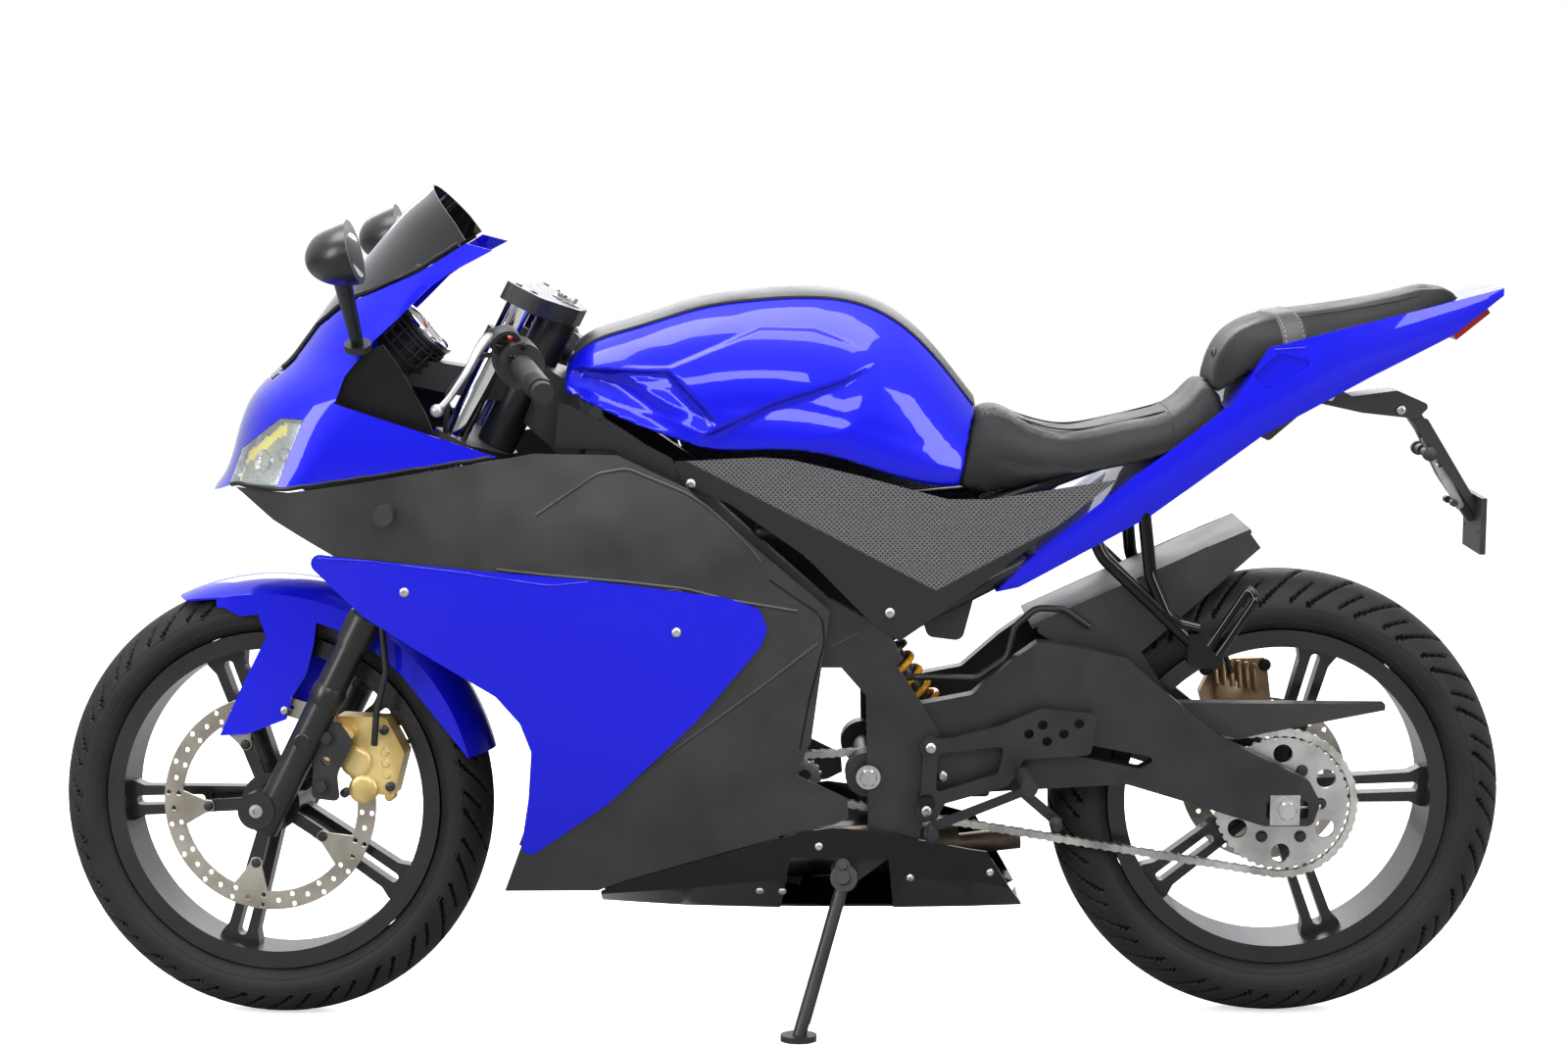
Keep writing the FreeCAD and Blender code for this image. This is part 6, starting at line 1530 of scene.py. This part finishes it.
# %% Levers
BALL = 8.5
bm = bmesh.new()
for side in (1, -1):
    blade = [(1014, 205, 928), (1018, 222, 929), (1024, 234, 920), (1030, 248, 906), (1034, 262, 891), (1046, 279, 868),
             (1057, 292, 849), (1065, 299, 841)]
    sizes = (1.5, 1.5, 1.25, 1.0, 0.95, 0.9, 0.8, 0.8)
    bm.from_mesh(tube_mesh("blade", [(x, side * y, z) for x, y, z in blade], 5.6, sizes=sizes))
    rings = [(BALL * math.sin(math.pi * k / 12), -BALL * math.cos(math.pi * k / 12)) for k in range(13)]
    lathe(bm, (1067, side * 301, 839), (0, 0, 1), [(max(r, 0), h) for r, h in rings], 24)
from_bmesh("lever_blades", bm, CAST_ALU, "steering", 60.0, ("levers",))
bm = bmesh.new()
for side in (1, -1):
    low, high = Vector((1003, side * 204, 927)), Vector((993, side * 222, 916))
    way = (high - low).normalized()
    lathe(bm, low, way, [(13, -3), (19, -3), (20, -1), (20, 13), (19, 15), (13, 15)], 32)
    bm.from_mesh(tube_mesh("perch", [(1000, side * 210, 926), (1008, side * 208, 928), (1018, side * 212, 930)], 8.0))
    hexagon_head(bm, (1017, side * 212, 936), (0.2, 0, 1), 6.0)
from_bmesh("lever_clamps", bm, MOULDED_BLACK, "steering", 45.0)

# %% [markdown]
# The rear shock is a wire coiled round a damper. The coil is a helix between two seats, with the damper and its
# spring seats turned in one profile. The spring is the piece that stands for the CAD shock, since it is what
# shows.

# %% Rear shock
shock_low, shock_high = Vector((438, 0, 372)), Vector((528, 0, 508))
axis = (shock_high - shock_low).normalized()
length = (shock_high - shock_low).length
first, second = square_to(axis)
coils, samples, coil_radius, wire_radius = 6.5, 14, 21.0, 4.6
route = []
for i in range(int(coils * samples) + 1):
    share = i / (coils * samples)
    angle = 2 * math.pi * coils * share
    route.append(shock_low + axis * (14 + (length - 28) * share)
                 + (first * math.cos(angle) + second * math.sin(angle)) * coil_radius)
tube("shock_spring", [tuple(p) for p in route], wire_radius, YELLOW, "root", replaces=("rear_shock",))
bm = bmesh.new()
lathe(bm, shock_low, axis, [(0, 2), (14, 2), (25.5, 8), (25.5, 12), (9, 13), (9, 80), (15, 81), (15, length - 14),
                            (25.5, length - 13), (25.5, length - 8), (12, length - 2), (0, length - 2)], 28)
from_bmesh("shock_damper", bm, FRAME_BLACK, "root")

# %% [markdown]
# Behind a clear lens sits the lamp's bowl: a bright ribbed reflector with an amber rim along its upper edge and
# a dark trim below. It is a grid of points 9 mm behind the lens, found by rays, and its faces choose their
# material by their place. Two small turned bowls stand in it on each side.

# %% Headlights
# Aluminium vapour on a ribbed plastic bowl: a broken mirror, stretched along its ribs
REFLECTOR = finish_of("lamp_reflector", "A9ADA6", "D0D4CC", (0.18, 0.3), 0.9, grain_mm=5.0, depth_mm=0.5,
                      stretch=(1, 1, 3))
# Amber acrylic rim: yellow where light passes through it
AMBER = finish_of("lamp_amber", "E0C818", "F0E058", (0.15, 0.25), coat=0.8, grain_mm=3.0, depth_mm=0.1)
# Grey moulded trim in the bottom of the lamp
LAMP_DARK = finish_of("lamp_grey_plastic", "3A3D38", "5A5D58", (0.3, 0.4), grain_mm=2.0, depth_mm=0.1)
lamp_tree = search_tree("headlights")
bm = bmesh.new()
kinds = []
for side in (1, -1):
    grid = {}
    for i in range(33):
        for k in range(33):
            x, z = 1286 + 3.6 * i, 728 + 3.3 * k
            found = on_side(lamp_tree, x, z, side)
            if found:
                ripple = 0.8 * math.cos(z * 0.9)
                grid[i, k] = bm.verts.new(found[0] - found[1] * (9 + ripple))
    tops = {i: max(k for (a, k) in grid if a == i) for i in {a for a, _ in grid}}
    for i, k in list(grid):
        ring = [(i, k), (i + 1, k), (i + 1, k + 1), (i, k + 1)]
        if all(cell in grid for cell in ring):
            bm.faces.new([grid[cell] for cell in ring])
            kinds.append(1 if tops[i] - k < 6 and i > 8 else (2 if k < 6 or i < 3 else 0))
lamps = from_bmesh("lamp_reflectors", bm, REFLECTOR, "root", 0)
lamps.data.materials.append(AMBER)
lamps.data.materials.append(LAMP_DARK)
lamps.data.polygons.foreach_set("material_index", kinds)
bm = bmesh.new()
for side in (1, -1):
    for x, z, reach in ((1352, 776, 15), (1320, 786, 9)):
        found = on_side(lamp_tree, x, z, side)
        if found:
            place = found[0] - found[1] * 9
            lathe(bm, place, found[1], [(reach, 0), (reach, 3), (reach * 0.8, 1), (reach * 0.5, -2), (0, -3)], 24)
from_bmesh("lamp_bowls", bm, CHROME, "root")

# %% [markdown]
# The instrument pod is a round housing with cooling ribs, a chrome rim and a dial with ticks and a needle. All
# of it is turned about one axis, which points at the rider's eyes. The ticks are small solid bars, because
# lines painted in an image would blur in a close view.

# %% Instruments
pod_face, pod_axis = Vector((1146, 0, 938)), Vector((-0.73, 0, 0.68)).normalized()
bm = bmesh.new()
lathe(bm, pod_face, pod_axis, [(43.4, -4), (45.4, -3), (45.8, 1.5), (44.2, 3.2), (41, 2.4), (40.4, 0.4)], 64)
from_bmesh("dial_rim", bm, CHROME, "root", 60.0)
bm = bmesh.new()
for depth in (-10, -17, -30, -43):
    lathe(bm, pod_face, pod_axis, [(43, depth), (45.4, depth - 0.6), (45.4, depth - 3), (43, depth - 3.6)], 64)
for i in range(16):
    angle = 2 * math.pi * i / 16
    first, second = square_to(pod_axis)
    spoke = first * math.cos(angle) + second * math.sin(angle)
    lathe(bm, pod_face + spoke * 42.6 + pod_axis * -43, pod_axis, [(0, 0), (2.6, 0), (2.6, 30), (0, 30)], 10)
from_bmesh("pod_ribs", bm, MOULDED_BLACK, "root", 60.0)
# Screen-printed dial marks: matt white ink
DIAL = finish_of("dial_white", "E8E8E4", "F4F4F0", (0.4, 0.5), grain_mm=2.0, depth_mm=0.01)
bm = bmesh.new()
first, second = square_to(pod_axis)
for i in range(25):
    angle = math.radians(-130 + 260 * i / 24)
    spoke = first * math.sin(angle) + second * math.cos(angle)
    inner = 30 if i % 3 else 26
    a, b = pod_face + spoke * inner + pod_axis * 0.5, pod_face + spoke * 36 + pod_axis * 0.5
    lathe(bm, a, b - a, [(0, 0), (0.7, 0), (0.7, (b - a).length), (0, (b - a).length)], 6)
from_bmesh("dial_ticks", bm, DIAL, "root", 0)
needle = pod_face + pod_axis * 1.4
tip = needle + (first * math.sin(-2.0) + second * math.cos(-2.0)) * 31
tube("dial_needle", [tuple(needle), tuple(needle.lerp(tip, 0.5)), tuple(tip)], 0.9, RED_PLASTIC, "root",
     sizes=(1.4, 1.0, 0.4))

# %% [markdown]
# A mirror's glass is a flat ellipse just behind the shell's rim. It faces the rider, so a ray from behind finds
# the shell, and a shallow cone of thin faces in front of it is enough for a mirror.

# %% Mirror glasses
# Silvered glass: a nearly perfect mirror, slightly cool
GLASS = finish_of("mirror_glass", "C8CCD0", "DADEE2", (0.02, 0.04), 1.0, grain_mm=8.0, depth_mm=0.001)
mirror_tree = search_tree("mirrors")
up_way, back_way = Vector((0.265, 0, 0.964)), Vector((-0.964, 0, 0.265))
glass_wide, glass_high, glass_steps = 50, 33, 48
bm = bmesh.new()
for side in (1, -1):
    middle = Vector((1206, side * 262, 1052))
    hit = mirror_tree.ray_cast(middle + back_way * 200, -back_way)
    if hit[0] is None:
        continue
    middle = hit[0] + back_way * 0.4
    angles = [2 * math.pi * i / glass_steps for i in range(glass_steps)]
    ring = [bm.verts.new(middle + Vector((0, 1, 0)) * glass_wide * math.cos(a) + up_way * glass_high * math.sin(a))
            for a in angles]
    hub = bm.verts.new(middle + back_way * 0.6)
    for i in range(glass_steps):
        bm.faces.new((ring[i], ring[(i + 1) % glass_steps], hub))
from_bmesh("mirror_glasses", bm, GLASS, "root", 0)

# %% [markdown]
# A grip has raised rings so that a wet glove holds it, and the switch housing beside it has red and black
# buttons. The rings are turned round the bar's axis at the radius that a ray finds, and the buttons are set
# where the thumb reaches them.

# %% Grips and switches
grip_tree = search_tree("grips")
bm = bmesh.new()
for side in (1, -1):
    low, high = Vector((975, side * 252, 903)), Vector((936, side * 316, 869))
    run = high - low
    way = run.normalized()
    out_way = square_to(way)[0]
    for i in range(15):
        place = low + run * (i / 14)
        hit = grip_tree.ray_cast(place + out_way * 80, -out_way)
        if hit[0] is None:
            continue
        reach = (hit[0] - place).dot(out_way)
        if not 10 < reach < 24:
            continue
        lathe(bm, place, way, [(reach - 0.8, -1.6), (reach + 0.7, -1.0), (reach + 0.7, 1.0), (reach - 0.8, 1.6)], 32)
from_bmesh("grip_rings", bm, GRIP_RUBBER, "steering", 50.0)

bar_tree = search_tree("handlebars")
bm = bmesh.new()
found = on_side(bar_tree, 992, 927, 1)
if found:
    lathe(bm, found[0], found[1], [(7.5, -3), (7.5, 2.4), (6.4, 3.4), (0, 3.8)], 20)
hit = bar_tree.ray_cast(Vector((988, -234, 1100)), Vector((0, 0, -1)))
if hit[0] is not None:
    lathe(bm, hit[0], (0, 0, 1), [(8.5, -3), (8.5, 3.0), (6.6, 4.4), (0, 4.6)], 20)
from_bmesh("switch_buttons", bm, RED_PLASTIC, "steering")
bm = bmesh.new()
for x, z, reach in ((988, 903, 5.5), (974, 918, 4.5)):
    found = on_side(bar_tree, x, z, 1)
    if found:
        lathe(bm, found[0], found[1], [(reach, -2), (reach, 2.6), (reach * 0.8, 3.4), (0, 3.6)], 16)
from_bmesh("switch_keys", bm, GLOSS_BLACK, "steering")

# %% [markdown]
# On top of the bars stand the brake fluid's reservoir, the block round the ignition switch and the caps of the
# fork tubes. All are turned forms. The caps find the yoke's upper face by a ray down the steering axis.

# %% Reservoir and yoke caps
bm = bmesh.new()
lathe(bm, (1003, -196, 944), (-0.1, 0, 1),
      [(0, 0), (15, 0), (17, 3), (17, 24), (19, 25), (19, 31), (16.5, 33), (0, 33)], 32)
lathe(bm, (1018, 0, 962), STEER_UP, [(0, 0), (16, 0), (16, 22), (13, 25), (6, 25), (5, 23), (0, 23)], 28)
bm.from_mesh(tube_mesh("neck", [(1005, -196, 948), (1000, -204, 934), (998, -208, 925)], 7.0))
from_bmesh("reservoir", bm, MOULDED_BLACK, "steering", 45.0)

YOKE_HEIGHT = 980
yoke_tree = search_tree("yokes", "fork_tubes")
stem = STEER_BASE + STEER_UP * ((YOKE_HEIGHT - STEER_BASE.z) / STEER_UP.z)
bm = bmesh.new()
for side in (1, -1, 0):
    place = fork_point(YOKE_HEIGHT, side * FORK_SPREAD) if side else stem
    hit = yoke_tree.ray_cast(place + STEER_UP * 120, -STEER_UP)
    if hit[0] is None:
        continue
    if side:
        lathe(bm, hit[0], STEER_UP, [(15, -2), (15, 2), (13.6, 3.2), (8, 3.2), (7.6, 6), (0, 6)], 28, {4: 6})
    else:
        hexagon_head(bm, hit[0], STEER_UP, 15.0)
from_bmesh("yoke_caps", bm, BOLT_STEEL, "steering")

# %% [markdown]
# The number plate's bracket carries a lamp stub, a stiffening blade and a bright shim. They are sheet and
# turned parts again, set straight in the bike's middle.

# %% Plate bracket
bm = bmesh.new()
for side in (1, -1):
    lathe(bm, (-194, side * 10, 774), (0, side, 0),
          [(0, 0), (7, 0), (7, 20), (9.5, 22), (9.5, 30), (6, 33), (0, 33)], 24)
    lathe(bm, (-232, side * 14, 706), (0, side, 0), [(0, 0), (5, 0), (5, 12), (0, 12)], 16)
from_bmesh("bracket_stubs", bm, MOULDED_BLACK, "root", 45.0)
blade_corners = [(-177, 812), (-195, 820), (-277, 687), (-256, 678), (-212, 742)]
shim_corners = [(-186, 792), (-200, 796), (-250, 700), (-240, 694), (-212, 742)]
bracket_hole = circle(-214, 758, 5)
plate("bracket_blade", rounded(blade_corners, 5), -9, 9, BRACKET, "root", [bracket_hole])
plate("bracket_shim", rounded(shim_corners, 4), 9, 11, CAST_ALU, "root", [bracket_hole])

# %% [markdown]
# The foot levers end in ribbed rubbers, which stop a boot from slipping, and washers and one bolt show where
# levers and stand turn. The stand's bolt rides on the stand, so that it swings with it.

# %% Pedals and stand
foot_tree = search_tree("footrests")
bm = bmesh.new()
for x, z, reach in ((475, 283, 8.5), (311, 297, 7.5)):
    lathe(bm, (x, 148, z), (0, 1, 0), [(0, 0), (reach, 0), (reach, 24), (reach - 2, 27), (0, 27)], 20)
    for k in range(5):
        lathe(bm, (x, 150 + 4.4 * k, z), (0, 1, 0), [(reach, 0), (reach + 1, 0.6), (reach + 1, 1.8), (reach, 2.4)], 20)
from_bmesh("pedal_rubbers", bm, GRIP_RUBBER, "root", 50.0)
bm = bmesh.new()
for x, z in ((452, 387), (480, 322), (344, 349), (317, 294)):
    found = on_side(foot_tree, x, z, 1)
    if found:
        lathe(bm, found[0], found[1], [(11, -1), (11, 1.6), (8, 2.2), (0, 2.2)], 24)
from_bmesh("footrest_washers", bm, GLOSS_BLACK, "root")
bm = bmesh.new()
stand_tree = search_tree("side_stand")
found = on_side(stand_tree, 590, 236, 1) or on_side(stand_tree, 586, 230, 1)
if found:
    hexagon_head(bm, found[0], found[1], 7.0)
from_bmesh("stand_bolt", bm, FRAME_BLACK, "side_stand")

# %% [markdown]
# The floor isn't part of the object, and is declared as stage. It has two looks: the camera sees it nearly
# white, like a studio sweep, with the tyres' contact shadows, while the bike is lit by a greyer copy. A floor
# that is white to all rays would bleach the black panels above it.

# %% Floor
floor_mesh = bpy.data.meshes.new("floor")
reach = 12.0
floor_mesh.from_pydata([(-reach, -reach, 0), (reach, -reach, 0), (reach, reach, 0), (-reach, reach, 0)], [],
                       [(0, 1, 2, 3)])
floor = bpy.data.objects.new("floor", floor_mesh)
bpy.context.scene.collection.objects.link(floor)
floor_mat = finish_of("studio_floor", "F6F6F4", "FAFAF8", (0.5, 0.6), grain_mm=4.0, depth_mm=0.01, specular=0.2)
floor_tree = floor_mat.node_tree
floor_shader = next(n for n in floor_tree.nodes if n.type == "BSDF_PRINCIPLED")
floor_shader.inputs["Emission Color"].default_value = linear("FFFFFF")
floor_shader.inputs["Emission Strength"].default_value = 0.55
floor_path = add(floor_tree, "ShaderNodeLightPath")
floor_dim = add(floor_tree, "ShaderNodeBsdfDiffuse", {"Color": linear("8C8C8A")})
floor_mix = add(floor_tree, "ShaderNodeMixShader", {0: floor_path.outputs["Is Camera Ray"], 1: floor_dim.outputs[0],
                                                    2: floor_shader.outputs[0]})
floor_out = next(n for n in floor_tree.nodes if n.type == "OUTPUT_MATERIAL")
floor_tree.links.new(floor_mix.outputs[0], floor_out.inputs[0])
floor_mesh.materials.append(floor_mat)
floor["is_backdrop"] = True

# %% [markdown]
# Last, the box round everything that shows is worked out beside the box of the CAD model, in metres, and its
# size is printed. The two should agree, because no added piece may reach past the real size.

# %% Sizes
low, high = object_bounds()
sizes = {"cad": [list(cad_low), list(cad_high)], "visual": [list(low), list(high)]}
print("size:", [round(b - a, 4) for a, b in zip(low, high)])
